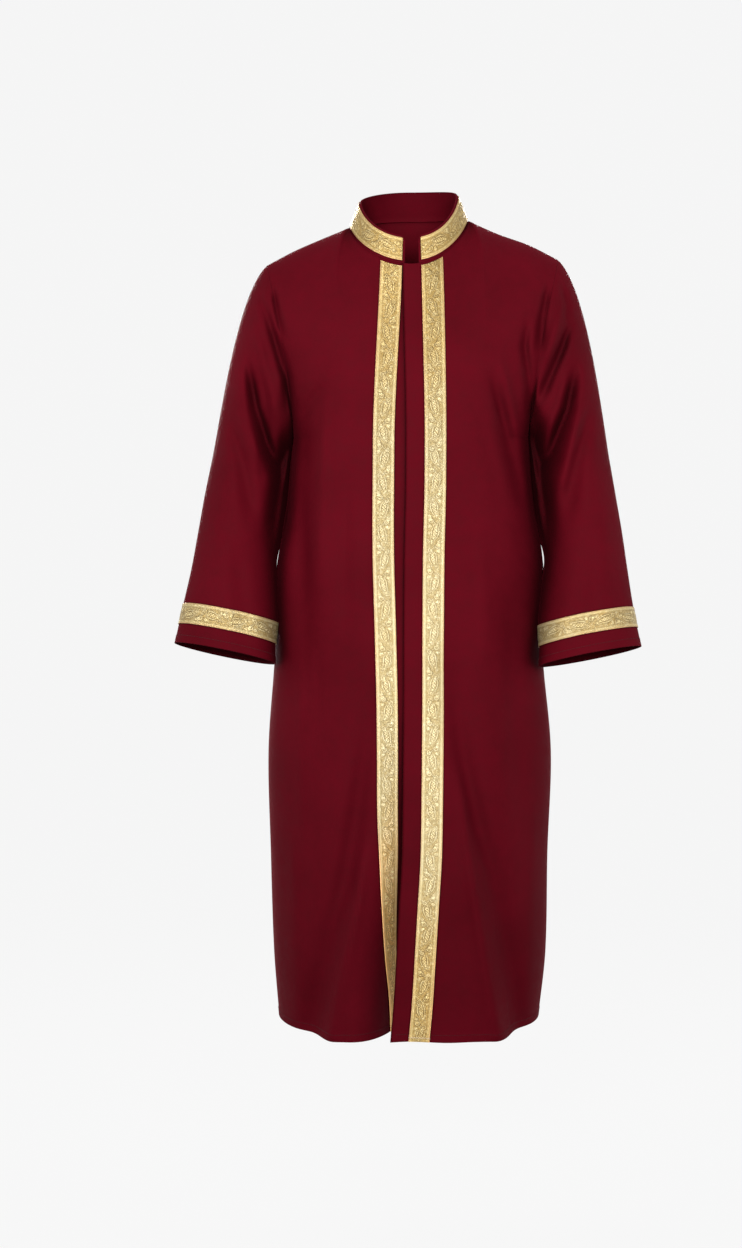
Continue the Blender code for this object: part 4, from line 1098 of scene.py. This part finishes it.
class Side:
    """The finished outer side of a panel: its points, its directions out and its two lengths."""

    def __init__(self, cloth):
        self.cloth = cloth
        rows, columns = cloth_places(cloth)
        self.points = cloth.shape(rows, columns)
        self.down = lengths_along(self.points, 0)
        self.over = lengths_along(self.points, 1)
        self.normals = normals_of(self.points, cloth.turn, cloth.wrap)
        self.relief = self.find_relief(rows, columns)

    def find_relief(self, rows, columns):
        name = self.cloth.name
        from_foot = self.down[-1:] - self.down
        from_end = self.over[:, -1:] - self.over
        if name == "collar":
            rim = np.minimum(from_foot, np.minimum(self.over, from_end))
            sewn = SEWN_PULL * bell(self.down, SEWN_PULL_WIDTH)
            return -sewn - RIM_PULL * bell(rim, RIM_PULL_WIDTH)
        if self.cloth.wrap:
            return roll_in(self.down) + turn_up(from_foot) + braid_print(rows, CUFF_BAND)[:, None]
        from_seam = np.minimum(self.down, from_end)
        if name == "back":
            return roll_in(np.minimum(from_seam, self.over)) + turn_up(from_foot)
        return roll_in(from_seam) + turn_up(from_foot) + braid_print(columns, STRIP)

    def surface(self):
        """The points with their relief."""
        return self.points + self.normals * self.relief[..., None]

    def borders(self):
        """Loops of point numbers round the panel's edges, the way the outer faces' edges run."""
        rows, columns = self.points.shape[:2]
        index = np.arange(rows * columns).reshape(rows, columns)
        if self.cloth.wrap:
            return [index[0], index[-1][::-1]]
        ring = [index[0], index[1:-1, -1], index[-1][::-1], index[1:-1, 0][::-1]]
        return [np.concatenate(ring)]

    def outward(self, loop):
        """The direction off the panel's edge at each point of its border."""
        rows, columns = self.points.shape[:2]
        flat = self.points.reshape(-1, 3)
        r, c = np.divmod(loop, columns)
        steps = [(r == 0, columns), (r == rows - 1, -columns)]
        if not self.cloth.wrap:
            steps += [(c == 0, 1), (c == columns - 1, -1)]
        away = np.zeros((len(loop), 3))
        for edge, step in steps:
            away[edge] += unit(flat[loop[edge]] - flat[loop[edge] + step])
        return unit(away)


def share_normals(sides):
    """Panels that meet at a seam get the same direction there, so their edges fit together."""
    edges = []
    for side in sides:
        loop = np.concatenate(side.borders())
        edges.append((loop, side.points.reshape(-1, 3)[loop], side.normals.reshape(-1, 3)[loop]))
    for k, (loop, points, normals) in enumerate(edges):
        total = normals.copy()
        for _, far_points, far_normals in edges[:k] + edges[k + 1 :]:
            gaps = np.linalg.norm(points[:, None] - far_points, axis=2)
            nearest = gaps.argmin(axis=1)
            agree = (normals * far_normals[nearest]).sum(axis=1) > LEAST_AGREEMENT
            total += far_normals[nearest] * (agree & (gaps.min(axis=1) < SEAM_REACH))[:, None]
        sides[k].normals.reshape(-1, 3)[loop] = unit(total)


# ---- Meshes ----


def mesh_object(name, points, faces, material, uvs=None, values=None):
    """An object from arrays. faces is a list of arrays of equal faces, uvs are per point, and
    values are further numbers per point, for the material."""
    data = bpy.data.meshes.new(name)
    sizes = np.concatenate([np.full(len(part), part.shape[1]) for part in faces])
    corners = np.concatenate([part.ravel() for part in faces]).astype(np.int32)
    data.vertices.add(len(points))
    data.vertices.foreach_set("co", np.asarray(points, np.float32).ravel())
    data.loops.add(len(corners))
    data.loops.foreach_set("vertex_index", corners)
    data.polygons.add(len(sizes))
    data.polygons.foreach_set("loop_start", (np.cumsum(sizes) - sizes).astype(np.int32))
    data.update(calc_edges=True)
    if uvs is not None:
        layer = data.uv_layers.new(name="cloth")
        layer.uv.foreach_set("vector", np.asarray(uvs, np.float32)[corners].ravel())
    for key, numbers in (values or {}).items():
        attribute = data.attributes.new(key, "FLOAT", "POINT")
        attribute.data.foreach_set("value", np.asarray(numbers, np.float32))
    data.shade_smooth()
    data.materials.append(material)
    return add_object(name, data)


def add_object(name, data):
    item = bpy.data.objects.new(name, data)
    bpy.context.scene.collection.objects.link(item)
    return item


def quads(index, flip, wrap=False):
    """Faces between the points of a grid of point numbers."""
    after = np.roll(index, -1, axis=1) if wrap else index[:, 1:]
    before = index if wrap else index[:, :-1]
    faces = np.stack([before[:-1], before[1:], after[1:], after[:-1]], axis=-1).reshape(-1, 4)
    return faces[:, ::-1] if flip else faces


def shell(side, thickness, material):
    """The closed cloth: outer side, inner side and a rounded edge between them."""
    cloth = side.cloth
    outer = side.surface()
    rows, columns, _ = outer.shape
    outer = outer.reshape(-1, 3)
    normals = side.normals.reshape(-1, 3)
    for loop in side.borders():
        outer[loop] -= side.outward(loop) * (SHELL_GAP / 2 + thickness * EDGE_ROUND)
    inner = outer - normals * thickness
    if cloth.name == "collar":
        inner[:columns] -= unit(outer[columns : 2 * columns] - outer[:columns]) * COLLAR_FACING
    count = len(outer)
    index = np.arange(count).reshape(rows, columns)
    flip = cloth.turn < 0
    faces = [quads(index, flip, cloth.wrap), quads(index + count, not flip, cloth.wrap)]
    uv = np.stack([side.over, -side.down], axis=-1).reshape(-1, 2)
    points, uvs = [outer, inner], [uv, uv]
    start = 2 * count
    for loop in side.borders():
        bulge = side.outward(loop) * thickness * EDGE_ROUND
        points.append(outer[loop] - normals[loop] * thickness / 2 + bulge)
        uvs.append(uv[loop])
        band = np.stack([loop, start + np.arange(len(loop)), loop + count])
        faces.append(quads(band, flip, wrap=True))
        start += len(loop)
    name = cloth.name + "_cloth"
    return mesh_object(name, np.concatenate(points), faces, material, np.concatenate(uvs))


# ---- Braid ----


class Print:
    """The braid's pattern at points along and across it, in millimetres: how high it stands, and
    how much of each point is motif, rim and dark line."""

    def __init__(self, along, across):
        self.along = along
        self.across = across
        self.height = np.zeros_like(along)
        self.motif = np.zeros_like(along)
        self.line = np.zeros_like(along)
        for middle, side in ((0.0, 1), (REPEAT * 500, -1)):
            self.drop(middle, side)
            self.stem(middle + STEM_PLACE, side)
            for place, facing, offset, size in CURLS:
                self.curl(middle + place, side * facing, offset, size)
            for place, facing in SPRIGS:
                self.sprig(middle + place, side * facing)
        self.edges()

    def near(self, place):
        """Distance along from the nearest repeat of a place."""
        length = REPEAT * 1000
        return (self.along - place + length / 2) % length - length / 2

    def draw(self, light, dark, height):
        """Adds a pale raised shape and the dark lines round and in it."""
        self.height = np.maximum(self.height, light * height)
        self.motif = np.maximum(self.motif * (1 - dark), light)
        self.line = np.maximum(self.line * (1 - light), dark)

    def drop(self, place, side):
        """A drop with a bent tip: a dark outline, a pale border, an inner line and a seeded heart."""
        ahead = self.near(place)
        u = (ahead * 0.985 + side * self.across * 0.17) / DROP_LENGTH + 0.5
        v = side * self.across * 0.985 - ahead * 0.17 - 19.0 * np.clip(u - 0.45, 0.0, 0.6) ** 2 + 0.6
        t = np.clip(u, 0.0, 1.0)
        half = DROP_HALF_WIDTH * np.sin(math.pi * t**0.60) ** 0.80 + 1e-6
        inside = 1 - np.abs(v) / half
        inside = np.where((u > 0) & (u < 1), inside, -1.0)
        within = smooth(inside * 6 + 0.5)
        self.draw(within * bell(inside - 0.26, 0.12), within * bell(inside - 0.02, 0.13), 0.36)
        self.draw(0.0 * within, within * bell(inside - 0.47, 0.085), 0.0)
        seeds = np.cos(2 * math.pi * ahead / 4.2) * np.cos(2 * math.pi * v / 4.4)
        heart = smooth((inside - 0.56) * 8)
        self.draw(heart * smooth(seeds * 2 + 0.5), 0.6 * heart * smooth(-seeds * 2 - 0.2), 0.30)

    def stem(self, place, side):
        """A curved stem that leads from one drop to the next."""
        ahead = self.near(place)
        gap = self.across - side * 5.6 * np.sin(ahead / 20.0 * math.pi)
        reach = smooth((10.0 - np.abs(ahead)) / 2)
        self.draw(reach * bell(gap, 0.65), reach * bell(np.abs(gap) - 1.35, 0.55), 0.28)

    def curl(self, place, side, across, size):
        """A small round curl, open on one side, with a berry in its middle."""
        ahead = self.near(place)
        aside = (self.across - side * across) * side
        radius = np.hypot(ahead, aside)
        angle = np.arctan2(aside, ahead)
        ring = radius - size * (0.74 + 0.09 * angle)
        near = smooth((size * 1.45 - radius) / 0.8)
        self.draw(near * bell(ring, 0.60), near * bell(np.abs(ring) - 1.15, 0.50), 0.30)
        self.draw(bell(radius, 0.85), 0.0 * radius, 0.34)

    def sprig(self, place, side):
        """Three small leaves that fan out beside a drop."""
        ahead = self.near(place)
        aside = self.across * side + 6.8
        for lean in LEAF_LEANS:
            u = ahead * math.cos(lean) + aside * math.sin(lean) - 2.2
            v = aside * math.cos(lean) - ahead * math.sin(lean)
            body = 1 - (u / 2.3) ** 2 - (v / 1.0) ** 2
            self.draw(smooth(body * 2 + 0.3), 0.7 * bell(body + 0.45, 0.30), 0.30)

    def edges(self):
        """Two low ribs and a twisted cord along both edges, with fine dark lines between them."""
        from_middle = np.abs(self.across)
        inside = smooth((FIGURED_HALF - from_middle) / 0.5)
        self.height *= inside
        self.motif *= inside
        self.line *= inside
        self.height += 0.16 * bell(from_middle - 10.9, 0.45) + 0.20 * bell(from_middle - 13.0, 0.9)
        slant = 2 * math.pi * (self.along / 2.9 + from_middle / 3.6)
        cord = bell(from_middle - CORD_MIDDLE, 1.05)
        self.height += cord * (0.34 + 0.07 * np.cos(slant))
        self.height -= 0.38 * smooth((from_middle - BRAID_EDGE) / 0.6)
        self.rim = smooth((from_middle - 14.75) / 0.35)
        borders = 0.55 * bell(from_middle - 10.25, 0.42) + 0.30 * bell(from_middle - 11.6, 0.34)
        self.line = np.maximum(self.line, borders + 0.45 * bell(from_middle - 14.5, 0.34))
        self.motif = np.maximum(self.motif, 0.50 * smooth((from_middle - 10.7) / 0.4) * (1 - self.rim))


class Ribbon:
    """A braid that lies on a cloth, from its first to its last place along and across it."""

    def __init__(self, name, cloth, rows, columns, runs_down):
        def shape(along, across):
            if runs_down:
                return cloth.shape(along, across)
            return cloth.shape(across, along).swapaxes(0, 1)

        self.name = name
        self.owner = cloth.name
        self.closed = cloth.wrap
        self.inward = {"front_right": 1, "front_left": -1}.get(cloth.name, 0)
        self.flip = (cloth.turn if runs_down else -cloth.turn) < 0
        ends, sides = (rows, columns) if runs_down else (columns, rows)
        rough = np.linspace(ends[0], ends[1], BRAID_WALK, endpoint=not self.closed)
        line = shape(rough, (sides[0] + sides[1]) / 2 + np.array([-0.2, 0.0, 0.2]))[:, 1]
        if self.closed:
            line = np.concatenate([line, line[:1]])
            rough = np.append(rough, ends[1])
        walked = lengths_along(line)
        self.length = walked[-1]
        count = int(round(self.length / BRAID_STEP))
        self.along = np.linspace(0.0, self.length, count, endpoint=not self.closed)
        self.over = np.linspace(0.0, 1.0, int(round(BRAID_WIDTH / BRAID_STEP)) + 1)
        self.grid = shape(
            np.interp(self.along, walked, rough), sides[0] + (sides[1] - sides[0]) * self.over
        )
        if runs_down:
            self.normals = normals_of(self.grid, cloth.turn)
        else:
            native = self.grid.swapaxes(0, 1)
            self.normals = normals_of(native, cloth.turn, self.closed).swapaxes(0, 1)

    def build(self, material):
        repeats = self.length / REPEAT
        whole = max(round(repeats), 1) / repeats if self.closed else 1.0
        along = np.broadcast_to(self.along[:, None] * whole, self.grid.shape[:2])
        across = np.broadcast_to((self.over - 0.5) * BRAID_WIDTH, along.shape)
        pattern = Print(along * 1000, across * 1000)
        lift = SEAM_GAP + BRAID_BODY + pattern.height / 1000
        top = self.grid + self.normals * lift[..., None]
        rows, columns = along.shape
        backs = np.unique(np.linspace(0, columns - 1, BRAID_BACKS + 1).round().astype(int))

        def of_points(front, back=None):
            """The values of the front's points and then of the back's."""
            back = front[:, backs] if back is None else back
            return np.concatenate([part.reshape(-1, *front.shape[2:]) for part in (front, back)])

        foot = (self.grid + self.normals * SEAM_GAP)[:, backs]
        upper = np.arange(rows * columns).reshape(rows, columns)
        lower = upper.size + np.arange(rows * len(backs)).reshape(rows, len(backs))
        if self.closed:
            upper, lower = np.concatenate([upper, upper[:1]]), np.concatenate([lower, lower[:1]])
        faces = [quads(upper, self.flip), quads(lower, not self.flip)]
        limits = ((0, self.flip), (-1, not self.flip))
        for edge, flip in limits:
            faces.append(quads(np.stack([lower[:, edge], upper[:, edge]], axis=1), flip))
        if not self.closed:
            for end, flip in limits:
                ring = np.concatenate([upper[end], lower[end][::-1]])[None, :]
                faces.append(ring if flip else ring[:, ::-1])
        values = {key: of_points(getattr(pattern, key)) for key in ("motif", "rim", "line")}
        # Painted light: how far a front's edge turns in, which brightens its braid's colour.
        turned = smooth((self.inward * self.normals[..., 0] - TURN_SHOWN) / TURN_RUN)
        values["turned"] = of_points(turned)
        uvs = of_points(np.stack([across, along], axis=-1))
        return mesh_object(self.name, of_points(top, foot), faces, material, uvs, values)


def braid_ribbons(cloths):
    """The braid on each front's edge, on each cuff and on the collar."""
    for side in SIDES:
        cloth = cloths["front_" + side]
        rows = (STRIP_START * TOP_ROWS, cloth.last_row)
        yield Ribbon("front_braid_" + side, cloth, rows, STRIP, True)
        cloth = cloths["sleeve_" + side]
        yield Ribbon("cuff_braid_" + side, cloth, CUFF_BAND, (0, cloth.last_column + 1), False)
    cloth = cloths["collar"]
    rows = [height / COLLAR_HEIGHT * COLLAR_ROWS for height in (COLLAR_BRAID_LOW, COLLAR_BRAID_TOP)]
    inset = COLLAR_PAST_STRIP / lengths_along(cloth.base, 1)[0, -1] * cloth.last_column
    yield Ribbon("collar_braid", cloth, rows, (inset, cloth.last_column - inset), False)


# ---- Stitches ----


Stitch = namedtuple("Stitch", "pitch length radius lift slant")
HEM_STITCH = Stitch(0.0042, 0.0030, 0.00028, 0.0002, 0.0)
FOOT_STITCH = Stitch(0.0021, 0.0040, 0.00045, BRAID_BODY + 0.0009, 0.55)
FOOT_STITCH_ROW = -8  # the row of a front braid's points that the stitches at its foot follow
STITCH_FORM = ((-0.5, 0.15), (-0.3, 1.0), (0.3, 1.0), (0.5, 0.15))  # place and size of each ring
STITCH_SIDES = 6


def stitches(name, line, normals, kind, material):
    """A row of short raised stitches along a line of points on the cloth."""
    walked = lengths_along(line)
    count = int(walked[-1] / kind.pitch)
    at = np.interp((np.arange(count) + 0.5) * walked[-1] / count, walked, np.arange(len(line)))
    out = unit(interpolate(normals, at))
    ahead = interpolate(line, np.minimum(at + 0.5, len(line) - 1))
    ahead -= interpolate(line, np.maximum(at - 0.5, 0))
    ahead = unit(ahead - out * (ahead * out).sum(axis=1, keepdims=True))
    aside = np.cross(out, ahead)
    slant = np.where(np.arange(count) % 2, kind.slant, -kind.slant)[:, None]
    ahead, aside = unit(ahead + aside * slant), unit(aside - ahead * slant)
    turns = np.arange(STITCH_SIDES)[:, None] * 2 * math.pi / STITCH_SIDES
    circle = np.cos(turns) * aside[:, None] + np.sin(turns) * out[:, None]
    rings = []
    for place, size in STITCH_FORM:
        rise = kind.lift + kind.radius * (0.9 * size - 0.55)
        middles = interpolate(line, at) + ahead * kind.length * place + out * rise
        rings.append(middles[:, None] + circle * kind.radius * size)
    index = np.arange(count * len(rings) * STITCH_SIDES).reshape(count, len(rings), -1)
    faces = []
    for grid in index:
        faces += [quads(grid, True, wrap=True), grid[:1], grid[-1:, ::-1]]
    return mesh_object(name, np.stack(rings, axis=1).reshape(-1, 3), faces, material)


def hem_line(side):
    """The line of a hem's stitches on a panel's outer side, and its directions out."""
    past = side.down - side.down[-1] + HEM_STITCHES
    rows = np.arange(len(past))
    both = np.concatenate([side.surface(), side.normals], axis=2)
    line = [interpolate(both[:, c], np.interp([0.0], gap, rows))[0] for c, gap in enumerate(past.T)]
    line = np.array(line + line[:1] if side.cloth.wrap else line[2:-2])
    return line[:, :3], line[:, 3:]


# ---- Materials ----


class Shader:
    """Builds one material's nodes."""

    def __init__(self, name):
        self.material = bpy.data.materials.new(name)
        self.material.use_nodes = True
        self.tree = self.material.node_tree
        self.surface = self.tree.nodes["Principled BSDF"]

    def node(self, kind, inputs, **settings):
        """A node with these settings. Each input, by name or number, gets a value or a link."""
        node = self.tree.nodes.new(kind)
        for key, value in settings.items():
            setattr(node, key, value)
        for key, value in inputs.items():
            self.feed(node.inputs[key], value)
        return node

    def feed(self, socket, value):
        if isinstance(value, bpy.types.NodeSocket):
            self.tree.links.new(value, socket)
        else:
            socket.default_value = value

    def set(self, **values):
        for key, value in values.items():
            self.feed(self.surface.inputs[key.replace("_", " ")], value)

    def coordinates(self, kind, scale=(1.0, 1.0, 1.0)):
        """Object or UV coordinates, in metres, times a scale along each axis."""
        source = self.node("ShaderNodeTexCoord", {}).outputs[kind]
        return self.node("ShaderNodeMapping", {"Vector": source, "Scale": scale}).outputs["Vector"]

    def noise(self, vector, scale, detail=2.0, roughness=0.5):
        inputs = {"Vector": vector, "Scale": scale, "Detail": detail, "Roughness": roughness}
        return self.node("ShaderNodeTexNoise", inputs).outputs["Fac"]

    def wave(self, vector, scale, direction, distortion):
        inputs = {"Vector": vector, "Scale": scale, "Distortion": distortion, "Detail": 1.0}
        return self.node("ShaderNodeTexWave", inputs, bands_direction=direction).outputs["Fac"]

    def parts(self, vector):
        """The X, Y and Z of a vector."""
        return self.node("ShaderNodeSeparateXYZ", {"Vector": vector}).outputs

    def math(self, operation, *values):
        return self.node("ShaderNodeMath", dict(enumerate(values)), operation=operation).outputs[0]

    def plus(self, a, b):
        return self.math("ADD", a, b)

    def times(self, a, b):
        return self.math("MULTIPLY", a, b)

    def size(self, value):
        return self.math("ABSOLUTE", value)

    def span(self, value, low, high, to_low=0.0, to_high=1.0):
        """Turns the run from low to high into the one from to_low to to_high, and clamps it."""
        keys = ("Value", "From Min", "From Max", "To Min", "To Max")
        inputs = dict(zip(keys, (value, low, high, to_low, to_high)))
        return self.node("ShaderNodeMapRange", inputs).outputs["Result"]

    def blend(self, share, a, b, blend_type="MIX"):
        inputs = {0: share, 6: a, 7: b}
        return self.node("ShaderNodeMix", inputs, data_type="RGBA", blend_type=blend_type).outputs[2]

    def tinted(self, colour, tint):
        return self.blend(1.0, colour, tint, "MULTIPLY")

    def shaded(self, colour, shade):
        grey = self.node("ShaderNodeCombineColor", {0: shade, 1: shade, 2: shade})
        return self.tinted(colour, grey.outputs["Color"])

    def attribute(self, name):
        return self.node("ShaderNodeAttribute", {}, attribute_name=name).outputs["Fac"]

    def bump(self, height, strength, distance):
        inputs = {"Height": height, "Strength": strength, "Distance": distance}
        self.set(Normal=self.node("ShaderNodeBump", inputs).outputs["Normal"])


def cloth_material(name, deep, bright):
    """Fine plain-woven wool-like cloth: slubs, a soft nap and an even weave, with painted shade where
    other cloth is near.
    """
    shader = Shader(name)
    place = shader.coordinates("Object")
    thread = shader.coordinates("UV")
    broad = shader.noise(place, BROAD_SCALE)
    mottled = shader.noise(place, MOTTLE_SCALE, 3.0, 0.6)
    shares = shader.plus(shader.times(broad, 0.65), shader.times(mottled, 0.35))
    colour = shader.blend(shader.span(shares, 0.32, 0.68), deep, bright)
    warp = shader.wave(thread, WARP_SCALE, "X", 0.6)
    weft = shader.wave(thread, WEFT_SCALE, "Y", 0.6)
    weave = shader.math("MAXIMUM", warp, weft)
    slubs = shader.noise(shader.coordinates("UV", SLUB_SCALE), 1.0)
    threads = shader.plus(shader.times(weave, 0.6), shader.times(slubs, 0.4))
    colour = shader.shaded(colour, shader.span(threads, 0.2, 0.9, 0.86, 1.08))
    # Painted shade: the colour darkens in creases and between pieces, where other cloth is near.
    painted_crease_shade = shader.node("ShaderNodeAmbientOcclusion", {"Distance": CREASE_SHADE_REACH}, samples=4)
    colour = shader.shaded(colour, shader.span(painted_crease_shade.outputs["AO"], 0.34, 0.88, 0.04, 1.0))
    shader.set(Base_Color=colour, Roughness=shader.span(mottled, 0.3, 0.7, 0.68, 0.80))
    shader.set(Specular_IOR_Level=0.03, Sheen_Weight=0.05, Sheen_Roughness=0.5, Sheen_Tint=SHEEN)
    shader.bump(threads, 0.35, 0.00025)
    return shader.material


def braid_material(name):
    """Metallic-thread brocade: pale raised motifs on a speckled ground, with a rosy corded rim."""
    shader = Shader(name)
    place = shader.coordinates("Object")
    thread = shader.coordinates("UV")
    parts = shader.parts(place)
    height = parts["Z"]
    aside = shader.size(parts["X"])
    from_middle = shader.size(shader.parts(thread)["X"])
    grain = shader.noise(place, GRAIN_SCALE, 2.0, 0.7)
    patches = shader.noise(place, PATCH_SCALE)
    painted_glints = shader.noise(place, GLINT_SCALE, 3.0, 0.65)

    # The thread's colour, part its own and part painted light: palest round the waist, and richest at
    # the neck, hem and cuffs.
    from_palest = shader.size(shader.plus(height, -PALEST_Z))
    tone = shader.span(from_palest, *RICHER, 0.9, 0.0)
    tone = shader.plus(tone, shader.span(aside, *TO_CUFFS, 0.0, -0.5))
    tone = shader.plus(tone, shader.span(patches, 0.3, 0.7, -0.2, 0.2))
    gold = shader.blend(tone, GOLD_RICH, GOLD_PALE)
    ground = shader.blend(shader.span(grain, 0.38, 0.64, 0.75, 0.25), gold, MOTIF_DARK)
    raised = shader.blend(shader.span(tone, 0.0, 1.0, 0.45, 0.0), MOTIF_LIGHT, gold)
    colour = shader.blend(shader.span(shader.attribute("motif"), 0.15, 0.85), ground, raised)

    # Painted dark glints, less of them on the borders and where the thread is pale, then painted
    # bright glints, the dark lines and the rim.
    painted_dark_glints = shader.times(
        shader.span(from_middle, *TO_BORDERS, 1.0, 0.3), shader.span(tone, 0.0, 1.0, 1.0, 0.6)
    )
    painted_dark_glints = shader.times(shader.span(painted_glints, 0.50, 0.36, 0.0, 0.72), painted_dark_glints)
    colour = shader.blend(painted_dark_glints, colour, MOTIF_DARK)
    colour = shader.blend(shader.span(painted_glints, 0.54, 0.68, 0.0, 0.55), colour, SPECKLE)
    drawn = shader.times(shader.attribute("line"), shader.span(tone, 0.0, 1.0, 0.95, 0.55))
    colour = shader.blend(drawn, colour, LINE)
    colour = shader.blend(shader.attribute("rim"), colour, RIM)
    colour = shader.tinted(colour, shader.blend(tone, WARMTH, WHITE))

    # Painted shade on the chest and the cuffs, and painted light at the neck and where a front turns
    # in.
    chest = shader.span(height, *TO_CHEST, 1.0, 0.83)
    neck = shader.span(height, *TO_NECK, 1.0, 1.18)
    cuffs = shader.span(aside, *TO_CUFFS, 1.0, 0.80)
    colour = shader.shaded(colour, shader.times(shader.times(chest, neck), cuffs))
    colour = shader.blend(shader.attribute("turned"), colour, shader.tinted(colour, TURNED_PAINTED_LIGHT))

    # The weave: bright specks, and floats across the braid.
    dots = shader.node("ShaderNodeTexVoronoi", {"Vector": thread, "Scale": DOT_SCALE})
    speckle = shader.span(dots.outputs["Distance"], 0.15, 0.62, 1.0, 0.0)
    colour = shader.blend(shader.times(speckle, 0.14), colour, SPECKLE)
    floats = shader.wave(thread, FLOAT_SCALE, "Y", 0.8)
    knots = shader.plus(shader.times(floats, 0.5), shader.plus(grain, speckle))
    shader.set(Base_Color=colour, Metallic=0.55, Specular_IOR_Level=0.3)
    shader.set(Roughness=shader.span(grain, 0.3, 0.7, 0.32, 0.50))
    shader.bump(knots, 0.60, 0.0004)
    return shader.material


def plain_material(name, colour, roughness):
    """One colour with a fine grain."""
    shader = Shader(name)
    fine = shader.noise(shader.coordinates("Object"), FINE_SCALE)
    dark = [part * 0.85 for part in colour[:3]] + [1.0]
    shade = shader.blend(shader.span(fine, 0.3, 0.7), dark, colour)
    shader.set(Base_Color=shade, Roughness=roughness)
    shader.bump(fine, 0.2, 0.0002)
    return shader.material


# ---- Studio ----


def make_camera():
    data = bpy.data.cameras.new("camera")
    data.sensor_width = SENSOR
    data.lens = SENSOR * FOCAL_PIXELS / PHOTO_HEIGHT
    data.clip_end = 50.0
    camera = add_object("camera", data)
    camera.location = CAMERA
    camera.rotation_euler = (math.radians(90.0 - CAMERA_DOWN), 0.0, 0.0)
    bpy.context.scene.camera = camera


def make_floor():
    """A pale floor that curves up all round into a backdrop."""
    flat = STUDIO_REACH - STUDIO_CURVE
    profile = [(0.02, 0.0), (3.0, 0.0)]
    for turn in np.linspace(0.0, math.pi / 2, 13):
        profile.append((flat + STUDIO_CURVE * math.sin(turn), STUDIO_CURVE * (1 - math.cos(turn))))
    profile.append((STUDIO_REACH, STUDIO_TOP))
    turns = np.arange(STUDIO_SIDES) * 2 * math.pi / STUDIO_SIDES
    rings = [
        np.stack([r * np.sin(turns), r * np.cos(turns), np.full(STUDIO_SIDES, FLOOR_Z + z)], axis=1)
        for r, z in profile
    ]
    index = np.arange(len(profile) * STUDIO_SIDES).reshape(-1, STUDIO_SIDES)
    material = plain_material("studio_paper", PAPER, 0.9)
    paper = material.node_tree.nodes["Principled BSDF"].inputs
    paper["Emission Color"].default_value = WHITE
    paper["Emission Strength"].default_value = PAPER_GLOW
    paper["Specular IOR Level"].default_value = 0.0
    faces = [quads(index, True, wrap=True), index[:1, ::-1]]
    floor = mesh_object("studio_floor", np.concatenate(rings), faces, material)
    floor.visible_diffuse = False
    floor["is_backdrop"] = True


def make_lights():
    """Soft light from every side."""
    for name, place, aim, size, power, spread in LIGHTS:
        data = bpy.data.lights.new(name, "AREA")
        data.shape = "RECTANGLE"
        data.size, data.size_y = size
        data.spread = math.radians(spread)
        data.energy = power
        light = add_object(name, data)
        light.location = place
        light.rotation_euler = (Vector(aim) - Vector(place)).to_track_quat("-Z", "Y").to_euler()
    world = bpy.data.worlds.new("studio_air")
    world.use_nodes = True
    air = world.node_tree.nodes["Background"].inputs
    air["Color"].default_value = AIR_COLOUR
    air["Strength"].default_value = AIR
    bpy.context.scene.world = world
    bpy.context.scene.view_settings.view_transform = "Standard"


# ---- Everything ----


def flat_size(side):
    """The cut of a panel: width and length of its rectangle, and its flat area."""
    grid = side.points
    across = grid[:-1, 1:] - grid[:-1, :-1]
    down = grid[1:, :-1] - grid[:-1, :-1]
    area = np.linalg.norm(np.cross(across, down), axis=2).sum()
    return round(float(side.over.max()), 3), round(float(side.down.max()), 3), round(float(area), 4)


def dress(item, slot, *nodes):
    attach(item, "root")
    if nodes:
        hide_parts(*nodes)


def main():
    make_camera()
    make_floor()
    make_lights()
    burgundy = cloth_material("burgundy_wool", BURGUNDY_DEEP, BURGUNDY_BRIGHT)
    thread = plain_material("burgundy_thread", THREAD, 0.9)
    brocade = braid_material("gold_brocade_braid")
    stitch_gold = plain_material("gold_thread", STITCH_GOLD, 0.5)
    cloths = make_cloths()
    sides = {name: Side(cloth) for name, cloth in cloths.items()}
    share_normals([side for name, side in sides.items() if name != "collar"])
    with_pieces = {name: [] for name in cloths}
    for name, side in sides.items():
        if name != "collar":
            row = stitches(name + "_hem_stitches", *hem_line(side), HEM_STITCH, thread)
            dress(row, "burgundy_cloth")
            with_pieces[name].append(row)
    for ribbon in braid_ribbons(cloths):
        item = ribbon.build(brocade)
        dress(item, "gold_brocade", ribbon.name.replace("braid", "trim"))
        if ribbon.name.startswith("front_braid"):
            foot = ribbon.grid[FOOT_STITCH_ROW], ribbon.normals[FOOT_STITCH_ROW]
            row = stitches(ribbon.name + "_foot_stitches", *foot, FOOT_STITCH, stitch_gold)
            dress(row, "gold_brocade")
            with_pieces[ribbon.owner].append(row)
        with_pieces[ribbon.owner].append(item)
    for name, side in sides.items():
        item = shell(side, COLLAR_SHELL if name == "collar" else SHELL, burgundy)
        dress(item, "burgundy_cloth", name)
        width, length, area = flat_size(side)
        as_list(with_pieces[name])


main()
[[list(corner) for corner in box] for box in (CAD_BOX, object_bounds())]
